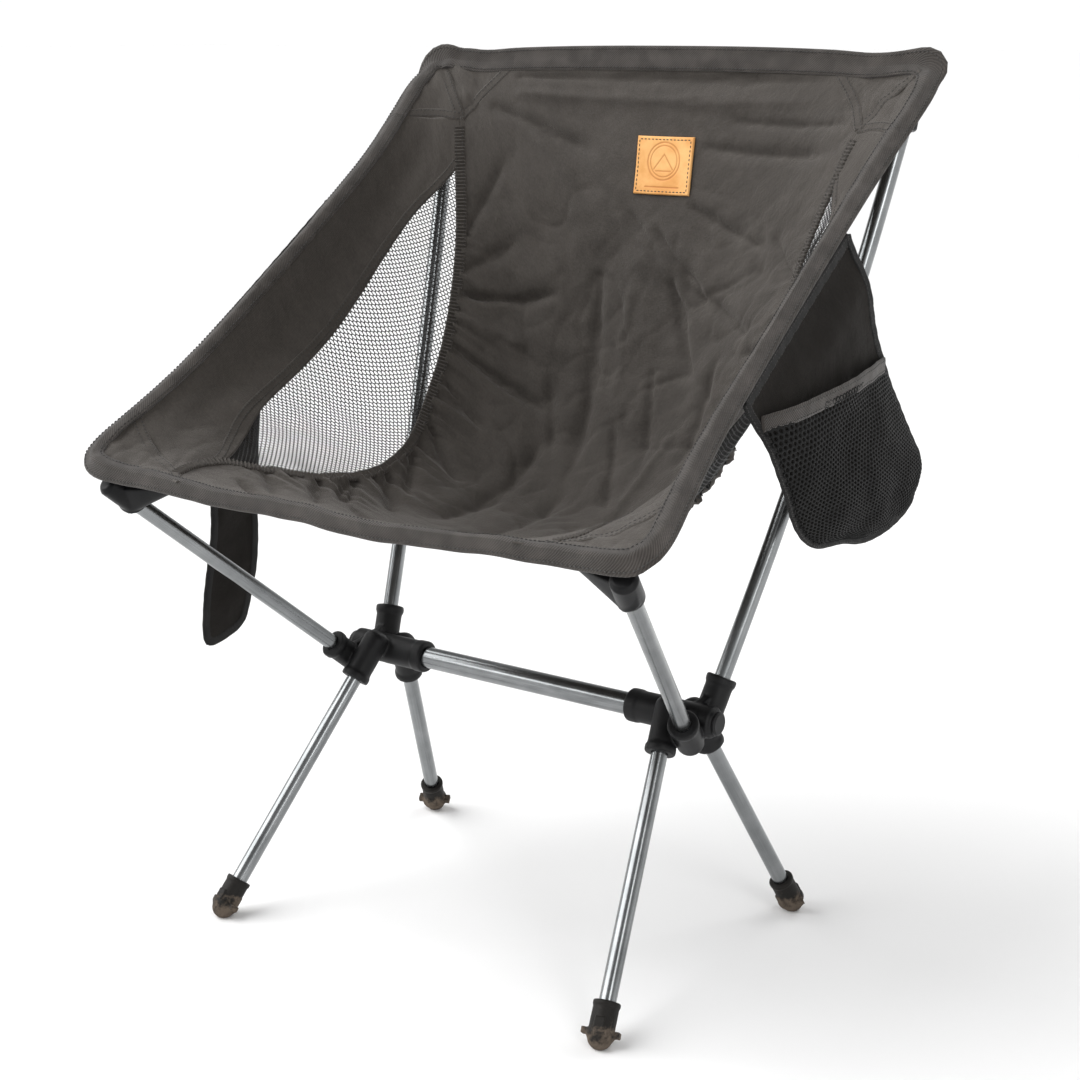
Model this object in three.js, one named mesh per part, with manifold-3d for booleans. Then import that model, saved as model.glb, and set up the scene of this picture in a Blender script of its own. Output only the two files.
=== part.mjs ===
// Low camp stool with a reclined sling back: two moulded hubs joined by a crossbar, four legs and
// four upper poles that plug into the hubs, and a fabric seat stretched over the four pole tips.
// Millimetres, +Z up, the front of the seat faces -Y, the origin is on the floor under the middle.
import * as THREE from 'three';
import { mergeVertices } from 'three/addons/utils/BufferGeometryUtils.js';
import loadManifold from 'manifold-3d';

const wasm = await loadManifold();
wasm.setup();
const { Manifold, Mesh: SolidMesh } = wasm;
const V = (x, y, z) => new THREE.Vector3(x, y, z);

// ---- driving dimensions ---------------------------------------------------------------------
const BAR_Y = 11.6;          // the crossbar stands this far behind the middle of the footprint
const BAR_Z = 189.7;         // height of the crossbar axis
const GAP = 0.3;             // air between two pieces that touch
const POLE_R = 6.25;         // outside radius of a leg or pole tube
const POLE_WALL = 1.0;
const BAR_R = 8.75;          // outside radius of the crossbar
const BAR_WALL = 1.1;
const CORD_R = 1.5;          // elastic cord inside the tubes
const SOCKET_DEPTH = 38;     // how far a tube sits in its hub socket
const SOCKET_R = POLE_R + 4.35; // outside radius of a hub socket
const LIP_R = SOCKET_R + 1.2; // thicker ring round a socket mouth
const COLLAR_R = BAR_R + 4.25; // outside radius of the crossbar collar
const HUB_X = 155;           // middle of each hub, from the middle of the stool
const COLLAR_MOUTH_X = HUB_X - 55.7;
const COLLAR_DEPTH = 28;     // how far the crossbar sits in the collar
const HUB_OUTER_X = HUB_X + 20; // outer face of the hub boss
const BOSS_R = 10.5;
const STEM_R = 3.6;          // stem of the cap in the boss
const FOOT_R = POLE_R + 3;   // rubber foot: sleeve and rounded bottom
const FOOT_LENGTH = 34;
const FOOT_WORN = 1.5;       // the rounded bottom is flat to this depth
const FOOT_SEAT = 12;        // rubber under the end of the leg tube
const CAP_R = POLE_R + 0.75; // plastic cap on the tip of an upper pole
const CAP_HEIGHT = 6;
const CAP_PLUG = 8;           // stem of that cap inside the tube
const CUP_R = CAP_R + 2.6;   // sleeve under each corner of the seat that takes the pole tip
const CUP_DEPTH = 26;        // how far the pole tip sits in the sleeve
const CLOTH = 1.2;           // thickness of the seat cloth
const NET_THICKNESS = 1.0;
const HEM = 3.2;             // thickness of the folded edge tape
const HEM_WIDTH = 15;
const ROUND = 24;            // facets round a tube
const HUB_ROUND = 16;        // facets round a hub socket or a foot

// the cloth of the seat: its front corners, and how the side edges run back and up from them
const SEAT_HALF = 240;
const SEAT_FRONT_Y = -216;
const SEAT_FRONT_Z = 376;
const SEAT_TAPER = 9;        // each back corner is this much further in
const SEAT_DEPTH = 409;
const SEAT_RISE = 280;
const EDGE_FRONT = V(SEAT_HALF, SEAT_FRONT_Y, SEAT_FRONT_Z);
const EDGE_BACK = V(SEAT_HALF - SEAT_TAPER, SEAT_FRONT_Y + SEAT_DEPTH, SEAT_FRONT_Z + SEAT_RISE);

// Right-hand side, measured from the crossbar axis in Y; the left side is its mirror image.
// Socket mouths belong to the hub, foot tips to the footprint, pole tips to the seat corners.
const inHub = (x, y, z) => V(HUB_X + x, y, BAR_Z + z);
const LEGS = {
  front: { mouth: inHub(-7.3, -36.2, -18.3), tip: V(181.9, -165.3, 4) },
  back: { mouth: inHub(-6.2, 36.3, -33.3), tip: V(184.2, 113.9, 4) },
};
const FRONT_POLE = { mouth: inHub(13.5, -38.4, 9.7), tip: EDGE_FRONT.clone().add(V(-11.7, 6.8, -22)) };
const BACK_POLE = { mouth: inHub(6.9, 29, 26.2), tip: EDGE_BACK.clone().add(V(-13.5, -2, -22)) };
const POLE_BOW = V(2.5, 8.5, 0); // the pull of the seat bows the back poles this much
const JOIN_AT = 0.46;        // the back pole is in two lengths that meet here
const FERRULE = 60;          // sleeve inside that joint

// ---- small helpers --------------------------------------------------------------------------
const mix = THREE.MathUtils.lerp;
const root = new THREE.Group();
root.position.y = BAR_Y;

const paint = (color, roughness, metalness = 0) =>
  new THREE.MeshStandardMaterial({ color, roughness, metalness });
const ALUMINIUM = paint(0x8b9192, 0.32, 1);
const MOULDED = paint(0x16171a, 0.55);
const RUBBER = paint(0x1b1a19, 0.8);
const ELASTIC = paint(0x202022, 0.9);
const CANVAS = paint(0x4a4642, 0.85);
const TAPE = paint(0x3b3835, 0.9);
const MESH_NET = paint(0x222222, 0.9);
const LEATHER = paint(0xc58a4e, 0.6);

function add(name, geometry, material) {
  const mesh = new THREE.Mesh(geometry, material);
  mesh.name = name;
  root.add(mesh);
  return mesh;
}

const mirrored = (p, side) => V(p.x * side, p.y, p.z);

// turns a shape made along +Y so that it runs along dir, starting at the point from
function along(geometry, from, dir) {
  const turn = new THREE.Quaternion().setFromUnitVectors(V(0, 1, 0), dir.clone().normalize());
  return geometry.applyQuaternion(turn).translate(from.x, from.y, from.z);
}

const lathe = (profile, facets = ROUND) =>
  new THREE.LatheGeometry(profile.map(([r, y]) => new THREE.Vector2(r, y)), facets);
const rod = (r, length, facets = ROUND) => lathe([[0, 0], [r, 0], [r, length], [0, length]], facets);
const pipe = (r, wall, length, facets = ROUND) =>
  lathe([[r - wall, 0], [r, 0], [r, length], [r - wall, length], [r - wall, 0]], facets);

// a rod with a rounded far end
function roundedRod(r, length, facets = ROUND) {
  const profile = [[0, 0], [r, 0], [r, length - r * 0.7]];
  for (const a of [30, 60]) {
    const t = THREE.MathUtils.degToRad(a);
    profile.push([r * Math.cos(t), length - r * 0.7 + r * 0.7 * Math.sin(t)]);
  }
  profile.push([0, length]);
  return lathe(profile, facets);
}

function toSolid(geometry) {
  const bare = new THREE.BufferGeometry();
  bare.setAttribute('position', geometry.getAttribute('position').clone());
  if (geometry.index) bare.setIndex(geometry.index.clone());
  const welded = mergeVertices(bare, 1e-4);
  const faces = [];
  const ids = welded.index.array;
  for (let i = 0; i < ids.length; i += 3) {
    const [a, b, c] = [ids[i], ids[i + 1], ids[i + 2]];
    if (a !== b && b !== c && c !== a) faces.push(a, b, c);
  }
  return new Manifold(new SolidMesh({
    numProp: 3,
    vertProperties: new Float32Array(welded.getAttribute('position').array),
    triVerts: new Uint32Array(faces),
  }));
}

function toGeometry(solid) {
  const mesh = solid.getMesh();
  const geometry = new THREE.BufferGeometry();
  geometry.setAttribute('position', new THREE.BufferAttribute(mesh.vertProperties, 3));
  geometry.setIndex(new THREE.BufferAttribute(mesh.triVerts, 1));
  geometry.computeVertexNormals();
  return geometry;
}

// a round bar or pipe that follows a curve
function swept(curve, r, wall, steps, facets = 20) {
  const shape = new THREE.Shape().absarc(0, 0, r, 0, Math.PI * 2, false);
  if (wall) shape.holes.push(new THREE.Path().absarc(0, 0, r - wall, 0, Math.PI * 2, true));
  return new THREE.ExtrudeGeometry(shape, { steps, extrudePath: curve, curveSegments: facets / 2 });
}

// the stretch of a curve between two lengths measured from its start
function stretch(curve, from, to) {
  const total = curve.getLength();
  const points = [];
  for (let i = 0; i <= 6; i++) points.push(curve.getPointAt(mix(from, to, i / 6) / total));
  return new THREE.CatmullRomCurve3(points);
}

// ---- frame ----------------------------------------------------------------------------------
const unit = (a, b) => b.clone().sub(a).normalize();
const spokes = {
  leg_front: { mouth: LEGS.front.mouth, dir: unit(LEGS.front.mouth, LEGS.front.tip) },
  leg_back: { mouth: LEGS.back.mouth, dir: unit(LEGS.back.mouth, LEGS.back.tip) },
  pole_front: { mouth: FRONT_POLE.mouth, dir: unit(FRONT_POLE.mouth, FRONT_POLE.tip) },
};
const backCurve = new THREE.QuadraticBezierCurve3(BACK_POLE.mouth,
  BACK_POLE.mouth.clone().lerp(BACK_POLE.tip, 0.5).addScaledVector(POLE_BOW, 2), BACK_POLE.tip);
spokes.pole_back = { mouth: BACK_POLE.mouth, dir: backCurve.getTangentAt(0) };

const inward = (spoke, depth) => spoke.mouth.clone().addScaledVector(spoke.dir, -depth);

function hub(side) {
  const axis = V(side, 0, 0);
  const at = (x) => V(x * side, 0, BAR_Z);
  const collar = lathe([[0, 0], [COLLAR_R - 1, 0], [COLLAR_R, 1], [COLLAR_R, 40], [0, 40]]);
  const parts = [
    along(collar, at(COLLAR_MOUTH_X), axis),
    along(rod(BOSS_R + 1.6, 50, HUB_ROUND), at(HUB_OUTER_X - 53), axis),
    along(lathe([[0, 0], [BOSS_R, 0], [BOSS_R, 4], [BOSS_R - 1, 5], [0, 5]]),
      at(HUB_OUTER_X - 5), axis),
  ];
  const bores = [
    along(rod(BAR_R + GAP, COLLAR_DEPTH + 5), at(COLLAR_MOUTH_X - 5 + GAP), axis),
    along(rod(STEM_R + GAP, 9.5), at(HUB_OUTER_X - 8.5), axis),
  ];
  for (const spoke of Object.values(spokes)) {
    const back = mirrored(spoke.dir, side).negate();
    const mouth = mirrored(spoke.mouth, side);
    parts.push(along(roundedRod(SOCKET_R, SOCKET_DEPTH + 6, HUB_ROUND), mouth, back));
    const lip = [[0, 0], [LIP_R - 0.6, 0], [LIP_R, 0.6], [LIP_R, 5], [SOCKET_R - 0.5, 7.5], [0, 7.5]];
    parts.push(along(lathe(lip, HUB_ROUND), mouth, back));
    const start = mouth.clone().addScaledVector(back, -5);
    bores.push(along(rod(POLE_R + GAP, SOCKET_DEPTH + GAP + 5), start, back));
  }
  const body = Manifold.union(parts.map(toSolid));
  return toGeometry(body.subtract(Manifold.union(bores.map(toSolid))));
}

function footSolid(tip, up) {
  // the rounded bottom is a ball of radius FOOT_R that reaches FOOT_WORN under the floor
  const lift = (FOOT_R - FOOT_WORN - tip.z) / up.z;
  const centre = tip.clone().addScaledVector(up, lift);
  const start = centre.clone().addScaledVector(up, -FOOT_R);
  const profile = [[0, 0]];
  for (const a of [-65, -40, -15]) {
    const t = THREE.MathUtils.degToRad(a);
    profile.push([FOOT_R * Math.cos(t), FOOT_R * (1 + Math.sin(t))]);
  }
  profile.push([FOOT_R + 1.6, 10.2], [FOOT_R + 1.6, 13.5], [FOOT_R, 14.8], [FOOT_R, 30],
    [FOOT_R + 0.6, 31], [FOOT_R + 0.6, FOOT_LENGTH - 0.6], [FOOT_R, FOOT_LENGTH], [0, FOOT_LENGTH]);
  const side = V(0, 0, 1).cross(up).normalize();
  const parts = [toSolid(along(lathe(profile, HUB_ROUND), start, up))];
  for (const way of [-1, 1]) {
    const ear = new THREE.BoxGeometry(5.5, 4.5, 7).translate(way * (FOOT_R + 2), 12, 0);
    const turn = new THREE.Matrix4().makeBasis(side, up, side.clone().cross(up));
    parts.push(toSolid(ear.applyMatrix4(turn).translate(start.x, start.y, start.z)));
  }
  const bore = along(rod(POLE_R + GAP, FOOT_LENGTH, HUB_ROUND), start.clone().addScaledVector(up, FOOT_SEAT), up);
  const floor = new THREE.BoxGeometry(80, 80, 30).translate(start.x, start.y, -15);
  const body = Manifold.union(parts).subtract(toSolid(bore)).subtract(toSolid(floor));
  return { geometry: toGeometry(body), start };
}

const tips = {};              // where each pole ends and which way it points
for (const [sideName, side] of [['left', -1], ['right', 1]]) {
  const axis = V(side, 0, 0);
  add(`hub_${sideName}`, hub(side), MOULDED);
  const cap = lathe([[0, 0], [STEM_R, 0], [STEM_R, 8 + GAP], [BOSS_R - 1.5, 8 + GAP], [BOSS_R - 1.5, 9.6],
    [BOSS_R - 3, 10.6], [0, 10.6]]);
  add(`hub_cap_${sideName}`, along(cap, V(side * (HUB_OUTER_X - 8), 0, BAR_Z), axis), MOULDED);

  // legs with their feet and the elastic cord that holds each one to the hub
  for (const end of ['front', 'back']) {
    const spoke = spokes[`leg_${end}`];
    const down = mirrored(spoke.dir, side);
    const up = down.clone().negate();
    const foot = footSolid(mirrored(LEGS[end].tip, side), up);
    add(`foot_${end}_${sideName}`, foot.geometry, RUBBER);
    const top = mirrored(inward(spoke, SOCKET_DEPTH), side);
    const bottom = foot.start.clone().addScaledVector(up, FOOT_SEAT + GAP);
    const length = top.distanceTo(bottom);
    add(`leg_${end}_${sideName}`, along(pipe(POLE_R, POLE_WALL, length), bottom, up), ALUMINIUM);
    add(`leg_cord_${end}_${sideName}`, along(rod(CORD_R, length, 8), bottom, up), ELASTIC);
  }

  // front upper pole: one straight tube
  const front = spokes.pole_front;
  const frontDir = mirrored(front.dir, side);
  const frontBase = mirrored(inward(front, SOCKET_DEPTH), side);
  const frontLength = frontBase.distanceTo(mirrored(FRONT_POLE.tip, side));
  add(`pole_front_${sideName}`, along(pipe(POLE_R, POLE_WALL, frontLength), frontBase, frontDir), ALUMINIUM);

  // back upper pole: two lengths, slightly bowed by the pull of the seat, joined by an inner sleeve
  const [a, b, c] = [mirrored(inward(spokes.pole_back, SOCKET_DEPTH), side),
    mirrored(BACK_POLE.mouth, side), mirrored(BACK_POLE.tip, side)];
  const bow = new THREE.CatmullRomCurve3([a, b,
    ...[0.25, 0.5, 0.75].map((t) => mirrored(backCurve.getPointAt(t), side)), c]);
  const full = bow.getLength();
  const join = full * JOIN_AT;
  add(`pole_back_lower_${sideName}`, swept(stretch(bow, 0, join - GAP / 2), POLE_R, POLE_WALL, 5), ALUMINIUM);
  add(`pole_back_upper_${sideName}`, swept(stretch(bow, join + GAP / 2, full), POLE_R, POLE_WALL, 6), ALUMINIUM);
  add(`ferrule_${sideName}`,
    swept(stretch(bow, join - FERRULE / 2, join + FERRULE / 2), POLE_R - POLE_WALL - GAP, 0.9, 4), ALUMINIUM);
  add(`pole_cord_${sideName}`, swept(stretch(bow, 1, full - CAP_PLUG - GAP), CORD_R, 0, 8, 8), ELASTIC);

  // tip caps and the sleeves under the seat corners
  for (const [end, tip, dir] of [['front', mirrored(FRONT_POLE.tip, side), frontDir],
    ['back', c, bow.getTangentAt(1)]]) {
    const plug = lathe([[0, -CAP_PLUG], [POLE_R - POLE_WALL - GAP, -CAP_PLUG], [POLE_R - POLE_WALL - GAP, GAP], [CAP_R, GAP],
      [CAP_R, CAP_HEIGHT - 2], [CAP_R - 2, CAP_HEIGHT], [0, CAP_HEIGHT]]);
    add(`tip_cap_${end}_${sideName}`, along(plug, tip.clone(), dir), MOULDED);
    tips[`${end}_${sideName}`] = { tip, dir };
  }
}

// crossbar, turning freely in the two collars, with the elastic cord through it
const barHalf = COLLAR_MOUTH_X + COLLAR_DEPTH;
add('crossbar', along(pipe(BAR_R, BAR_WALL, 2 * barHalf), V(-barHalf, 0, BAR_Z), V(1, 0, 0)), ALUMINIUM);
add('crossbar_cord', along(rod(CORD_R, 2 * barHalf, 8), V(-barHalf, 0, BAR_Z), V(1, 0, 0)), ELASTIC);

// ---- seat -----------------------------------------------------------------------------------
// the two side edges run from the front corners to the back corners; the cloth hangs between them
const EDGE_BOW = 6;
// the middle line of the seat, from the front hem down through the pan and up the back
const PROFILE = [ // [share of the depth, share of the rise]
  [-0.007, -0.029], [0.161, -0.107], [0.357, -0.2], [0.553, -0.254], [0.711, -0.214],
  [0.817, -0.086], [0.883, 0.114], [0.934, 0.371], [0.973, 0.657], [1.012, 1.025],
];
const MIDDLE = new THREE.CatmullRomCurve3(PROFILE.map(([back, up]) =>
  V(0, SEAT_FRONT_Y + back * SEAT_DEPTH, SEAT_FRONT_Z + up * SEAT_RISE)), false, 'centripetal');
const SIDE_WALL = 2.6;       // higher is a flatter pan with steeper sides

function edge(t) {
  const p = EDGE_FRONT.clone().lerp(EDGE_BACK, t);
  const bow = 4 * t * (1 - t);
  return V(p.x - EDGE_BOW * bow, p.y + 2 * bow, p.z - 3 * bow);
}

// a point of the seat surface: across -1 (left edge) to 1 (right edge), up 0 (front) to 1 (top)
function seat(across, up) {
  const middle = MIDDLE.getPointAt(THREE.MathUtils.clamp(up, 0, 1));
  const rim = edge(up);
  const sink = 1 - Math.pow(Math.min(1, Math.abs(across)), SIDE_WALL);
  return V(rim.x * across, mix(rim.y, middle.y, sink), mix(rim.z, middle.z, sink));
}

// a closed slab that follows a surface, offset along the surface normal
function slab(surface, nu, nv, thickness, offset = 0) {
  const g = new THREE.BoxGeometry(1, 1, 1, nu, nv, 1);
  const pos = g.getAttribute('position');
  const e = 1e-3;
  for (let i = 0; i < pos.count; i++) {
    const u = pos.getX(i) + 0.5;
    const v = pos.getY(i) + 0.5;
    const du = surface(Math.min(1, u + e), v).sub(surface(Math.max(0, u - e), v));
    const dv = surface(u, Math.min(1, v + e)).sub(surface(u, Math.max(0, v - e)));
    const n = du.cross(dv).normalize();
    const p = surface(u, v).addScaledVector(n, pos.getZ(i) * thickness + offset);
    pos.setXYZ(i, p.x, p.y, p.z);
  }
  g.computeVertexNormals();
  return g;
}

// Seams as [across, up] on the right half. Each corner patch is a four-sided piece: a point on the
// front or top hem, the inner point where its seams meet, a point on the side edge, and the corner.
const FRONT_PATCH = { hem: [0.62, 0], inner: [0.78, 0.075], side: [1, 0.13], corner: [1.004, -0.006] };
const BACK_PATCH = { hem: [0.66, 1], inner: [0.82, 0.9], side: [1, 0.85], corner: [0.994, 0.996] };
const CORNER_PULL = 0.99;    // higher is a tighter turn of the edge round a corner
const SEAM = 0.004;          // half of the parting between two panels, in the same units
// the gathered seam between the middle panel and a side gusset
const GATHERED = new THREE.CatmullRomCurve3([
  V(0.78, 0.075, 0), V(0.70, 0.135, 0), V(0.595, 0.24, 0), V(0.585, 0.37, 0), V(0.635, 0.5, 0),
  V(0.665, 0.62, 0), V(0.705, 0.725, 0), V(0.82, 0.9, 0),
]);
const BAND_INNER = 0.865;    // inner edge of the solid band along the side
const NET = { from: 0.1, to: 0.885 };

// how far the gathered seam lies from the middle at a given height
function seamAt(up) {
  let [lo, hi] = [0, 1];
  for (let i = 0; i < 24; i++) {
    const t = (lo + hi) / 2;
    if (GATHERED.getPoint(t).y < up) lo = t; else hi = t;
  }
  return GATHERED.getPoint(lo).x;
}

function panelHalf(up) {
  const [f, b] = [FRONT_PATCH, BACK_PATCH];
  if (up < f.inner[1]) return mix(f.hem[0], f.inner[0], up / f.inner[1]);
  if (up > b.inner[1]) return mix(b.inner[0], b.hem[0], (up - b.inner[1]) / (1 - b.inner[1]));
  return seamAt(up);
}

add('seat_panel', slab((u, v) => {
  const up = mix(SEAM, 1 - SEAM, v);
  const half = panelHalf(up) - SEAM;
  return seat(mix(-half, half, u), up);
}, 12, 20, CLOTH), CANVAS);

// folded tape along the edges, outside the cloth
const HEM_GAP = 1.5;         // between the cloth and the tape
const AWAY = { front: V(0, -0.35, -0.937), top: V(0, 0.2, 0.98), side: V(0.9, 0, -0.436) };
function hem(name, line, steps) {
  add(name, slab((u, v) => {
    const [point, away] = line(u);
    return point.addScaledVector(away.clone().normalize(), HEM_GAP + v * HEM_WIDTH);
  }, steps, 1, HEM), TAPE);
}
const [frontEnd, topEnd] = [FRONT_PATCH.hem[0] - SEAM, BACK_PATCH.hem[0] - SEAM];
hem('hem_front', (u) => [seat(mix(frontEnd, -frontEnd, u), 0), AWAY.front], 10);
hem('hem_top', (u) => [seat(mix(-topEnd, topEnd, u), 1), AWAY.top], 10);

for (const [sideName, side] of [['left', -1], ['right', 1]]) {
  const flip = (u) => (side > 0 ? u : 1 - u);
  const awaySide = mirrored(AWAY.side, side);
  hem(`hem_side_${sideName}`, (u) => {
    const t = mix(FRONT_PATCH.side[1] + SEAM, BACK_PATCH.side[1] - SEAM, flip(u));
    return [mirrored(edge(t), side), awaySide];
  }, 12);

  // solid cloth band along the side edge, cut slanting where it meets the corner patches
  add(`side_band_${sideName}`, slab((u, v) => {
    const [f, b] = [FRONT_PATCH, BACK_PATCH];
    const inner = Math.max(BAND_INNER, seamAt(mix(f.inner[1], b.inner[1], v)) + SEAM);
    const across = mix(inner, 1 - SEAM, flip(u));
    const cut = ({ inner: i, side: s }) => mix(i[1], s[1], (across - i[0]) / (1 - i[0]));
    return seat(side * across, mix(cut(f) + 2 * SEAM, cut(b) - 2 * SEAM, v));
  }, 3, 18, CLOTH), CANVAS);

  // net inset between that band and the gathered seam
  add(`side_net_${sideName}`, slab((u, v) => {
    const up = mix(NET.from, NET.to, v);
    const inner = Math.min(BAND_INNER - 0.025, seamAt(up) + SEAM);
    return seat(side * mix(inner, BAND_INNER - SEAM, flip(u)), up);
  }, 4, 14, NET_THICKNESS), MESH_NET);

  for (const [end, patch, away] of [['front', FRONT_PATCH, AWAY.front], ['back', BACK_PATCH, AWAY.top]]) {
    const turned = (side > 0) === (end === 'front');
    // cloth patch at the corner
    add(`corner_patch_${end}_${sideName}`, slab((u, v) => {
      const [s, t] = turned ? [u, v] : [v, u];
      const blunt = (k) => mix(patch.corner[k], patch.inner[k], 0.3);
      const at = (k) => mix(mix(patch.inner[k], patch.hem[k], s), mix(patch.side[k], blunt(k), s), t);
      return seat(side * at(0), at(1));
    }, 4, 4, CLOTH), CANVAS);
    // the edge tape goes round the corner with it
    const points = [patch.hem, patch.corner, patch.side].map(([a, up]) => seat(side * a, up));
    const round = new THREE.CubicBezierCurve3(points[0], points[0].clone().lerp(points[1], CORNER_PULL),
      points[2].clone().lerp(points[1], CORNER_PULL), points[2]);
    hem(`corner_hem_${end}_${sideName}`, (u) => {
      const t = turned ? u : 1 - u;
      const w = THREE.MathUtils.smoothstep(t, 0.2, 0.8);
      return [round.getPoint(t), away.clone().lerp(awaySide, w)];
    }, 10);
  }
}

// Under each corner a stiff triangular pocket holds the pole tip: a sleeve round the tip and a plate
// that widens from the mouth of the sleeve to the edge of the cloth.
const PLATE = 2.2;
const PLATES = {
  front: { from: 0.67, to: 0.95, up: 0.042, shift: V(0, 2, -7.5) },
  back: { from: 0.7, to: 0.96, up: 0.965, shift: V(0, 7, -2) },
};
for (const [sideName, side] of [['left', -1], ['right', 1]]) {
  for (const [end, plate] of Object.entries(PLATES)) {
    const { tip, dir } = tips[`${end}_${sideName}`];
    const mouth = tip.clone().addScaledVector(dir, CAP_HEIGHT + GAP - CUP_DEPTH);
    const sleeve = lathe([[0, 0], [CUP_R - 1, 0], [CUP_R, 1.2], [CUP_R, CUP_DEPTH],
      [CUP_R - 2.5, CUP_DEPTH + 3], [0, CUP_DEPTH + 3]], HUB_ROUND);
    const bore = along(rod(CAP_R + GAP, CUP_DEPTH + 8, HUB_ROUND), mouth.clone().addScaledVector(dir, -8), dir);
    const web = slab((u, v) => {
      const out = side > 0 ? u : 1 - u;
      const low = mouth.clone().addScaledVector(dir, 3).add(V(side * mix(-10, 10, out), 0, 0));
      const high = seat(side * mix(plate.from, plate.to, out), plate.up).add(plate.shift);
      return low.lerp(high, v);
    }, 4, 3, PLATE);
    const body = toSolid(along(sleeve, mouth, dir)).add(toSolid(web)).subtract(toSolid(bore));
    add(`corner_cup_${end}_${sideName}`, toGeometry(body), MOULDED);
  }
}

// leather label sewn to the top of the back
const LABEL = { width: 54, height: 47, across: 0.028, up: 0.877, thickness: 1.8 };
const labelHalfWidth = LABEL.width / 2 / EDGE_BACK.x;
const labelHalfHeight = LABEL.height / 2 / MIDDLE.getLength();
add('label', slab((u, v) => seat(LABEL.across + mix(-labelHalfWidth, labelHalfWidth, u),
  mix(LABEL.up - labelHalfHeight, LABEL.up + labelHalfHeight, v)), 2, 2, LABEL.thickness,
(CLOTH + LABEL.thickness) / 2 + GAP), LEATHER);

// ---- side pockets ---------------------------------------------------------------------------
// Each pocket hangs from a seam along the side edge, given as shares of that edge. Its front and
// back sides run down from the ends of the seam through these steps of [back, up].
const POCKET_X = SEAT_HALF + 10;
const POCKET_DROP = 10;      // the seam is this far under the side edge
const PULL = 12;             // how far the pouch stands off the panel
const POCKET_SEAM = [0.3, 0.645];
const POCKETS = {            // mouth is where the pouch opens, low is the rounding of the bottom
  right: { front: [[3, 0], [43, -63], [70, -103], [116, -131]],
    back: [[6, 0], [31, -76], [89, -150], [138, -210]], mouth: 0.2, low: 8 },
  left: { front: [[0, 0], [-9, -89], [-9, -179], [-6, -255]],
    back: [[0, 0], [-20, -127], [-80, -258], [-122, -353]], mouth: 0.3, low: 6 },
};
for (const [sideName, side] of [['left', -1], ['right', 1]]) {
  const outline = POCKETS[sideName];
  const rail = (list, share) => new THREE.CatmullRomCurve3(
    list.map(([y, z]) => edge(share).add(V(0, y, z)).setX(0)));
  const front = rail(outline.front, POCKET_SEAM[0]);
  const back = rail(outline.back, POCKET_SEAM[1]);
  // a point of the pocket: u from front to back, v from the seam to the bottom, off outwards
  const pocket = (u, v, off) => {
    const p = front.getPoint(v).lerp(back.getPoint(v), u);
    const sag = outline.low * 4 * u * (1 - u) * Math.pow(v, 4);
    return V(side * (POCKET_X + off), p.y, p.z - sag - POCKET_DROP * (1 - v));
  };
  const flip = (u) => (side > 0 ? u : 1 - u);
  add(`pocket_panel_${sideName}`,
    slab((u, v) => pocket(flip(u), 1 - v, 0), 8, 12, CLOTH), CANVAS);
  add(`pocket_net_${sideName}`, slab((u, v) => {
    const [across, down] = [flip(u), mix(1, outline.mouth, v)];
    const full = Math.pow(Math.sin(Math.PI * across), 0.7) * Math.pow(Math.sin(Math.PI / 2 * Math.min(1, v * 1.6)), 0.7);
    return pocket(across, down, CLOTH / 2 + NET_THICKNESS / 2 + GAP + PULL * full);
  }, 8, 10, NET_THICKNESS), MESH_NET);
}

export default root;
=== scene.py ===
"""A low camp stool with a reclined sling back: pole frame, stretched cloth, net gussets, side pockets.

Shapes are worked out in millimetres from the crossbar axis, as the frame's own sizes are, and every
piece is put into the frame in metres when its mesh is made.
"""
import math

import bmesh
import bpy
import numpy as np
from mathutils import Matrix, Vector, noise


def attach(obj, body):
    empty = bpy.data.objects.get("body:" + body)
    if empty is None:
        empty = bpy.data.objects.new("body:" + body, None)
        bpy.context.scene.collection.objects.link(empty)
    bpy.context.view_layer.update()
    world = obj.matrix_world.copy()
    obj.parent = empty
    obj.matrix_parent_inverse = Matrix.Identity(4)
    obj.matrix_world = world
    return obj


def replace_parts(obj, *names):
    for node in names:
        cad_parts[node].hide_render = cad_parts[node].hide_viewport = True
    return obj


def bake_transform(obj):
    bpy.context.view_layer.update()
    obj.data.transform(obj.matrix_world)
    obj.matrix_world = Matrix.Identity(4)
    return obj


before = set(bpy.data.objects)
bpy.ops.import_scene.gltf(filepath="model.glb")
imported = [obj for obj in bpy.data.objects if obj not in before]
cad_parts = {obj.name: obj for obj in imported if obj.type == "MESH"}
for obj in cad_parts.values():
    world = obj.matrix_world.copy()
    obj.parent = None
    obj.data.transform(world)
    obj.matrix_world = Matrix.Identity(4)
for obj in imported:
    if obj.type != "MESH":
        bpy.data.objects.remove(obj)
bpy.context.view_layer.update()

MM = 0.001
BAR_Y = 11.6                 # the crossbar stands this far behind the middle of the footprint
BAR_Z = 189.7
POLE_R = 6.25
POLE_WALL = 1.0
BAR_R = 8.75
BAR_WALL = 1.1
GAP = 0.3
SOCKET_DEPTH = 38
SOCKET_R = POLE_R + 4.35
LIP_R = SOCKET_R + 1.2
COLLAR_R = BAR_R + 4.25
COLLAR_DEPTH = 28
HUB_X = 155
HUB_OUTER_X = HUB_X + 20
COLLAR_MOUTH_X = HUB_X - 55.7
BOSS_R = 10.5
STEM_R = 3.6
FOOT_R = POLE_R + 3
FOOT_LENGTH = 34
FOOT_WORN = 1.5
FOOT_SEAT = 12
CAP_R = POLE_R + 0.75
CAP_HEIGHT = 6
CUP_R = CAP_R + 2.6
CUP_DEPTH = 26
JOIN_AT = 0.46
SIDES = (("left", -1), ("right", 1))


def xyz(*numbers):
    return np.array(numbers, float)


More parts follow.
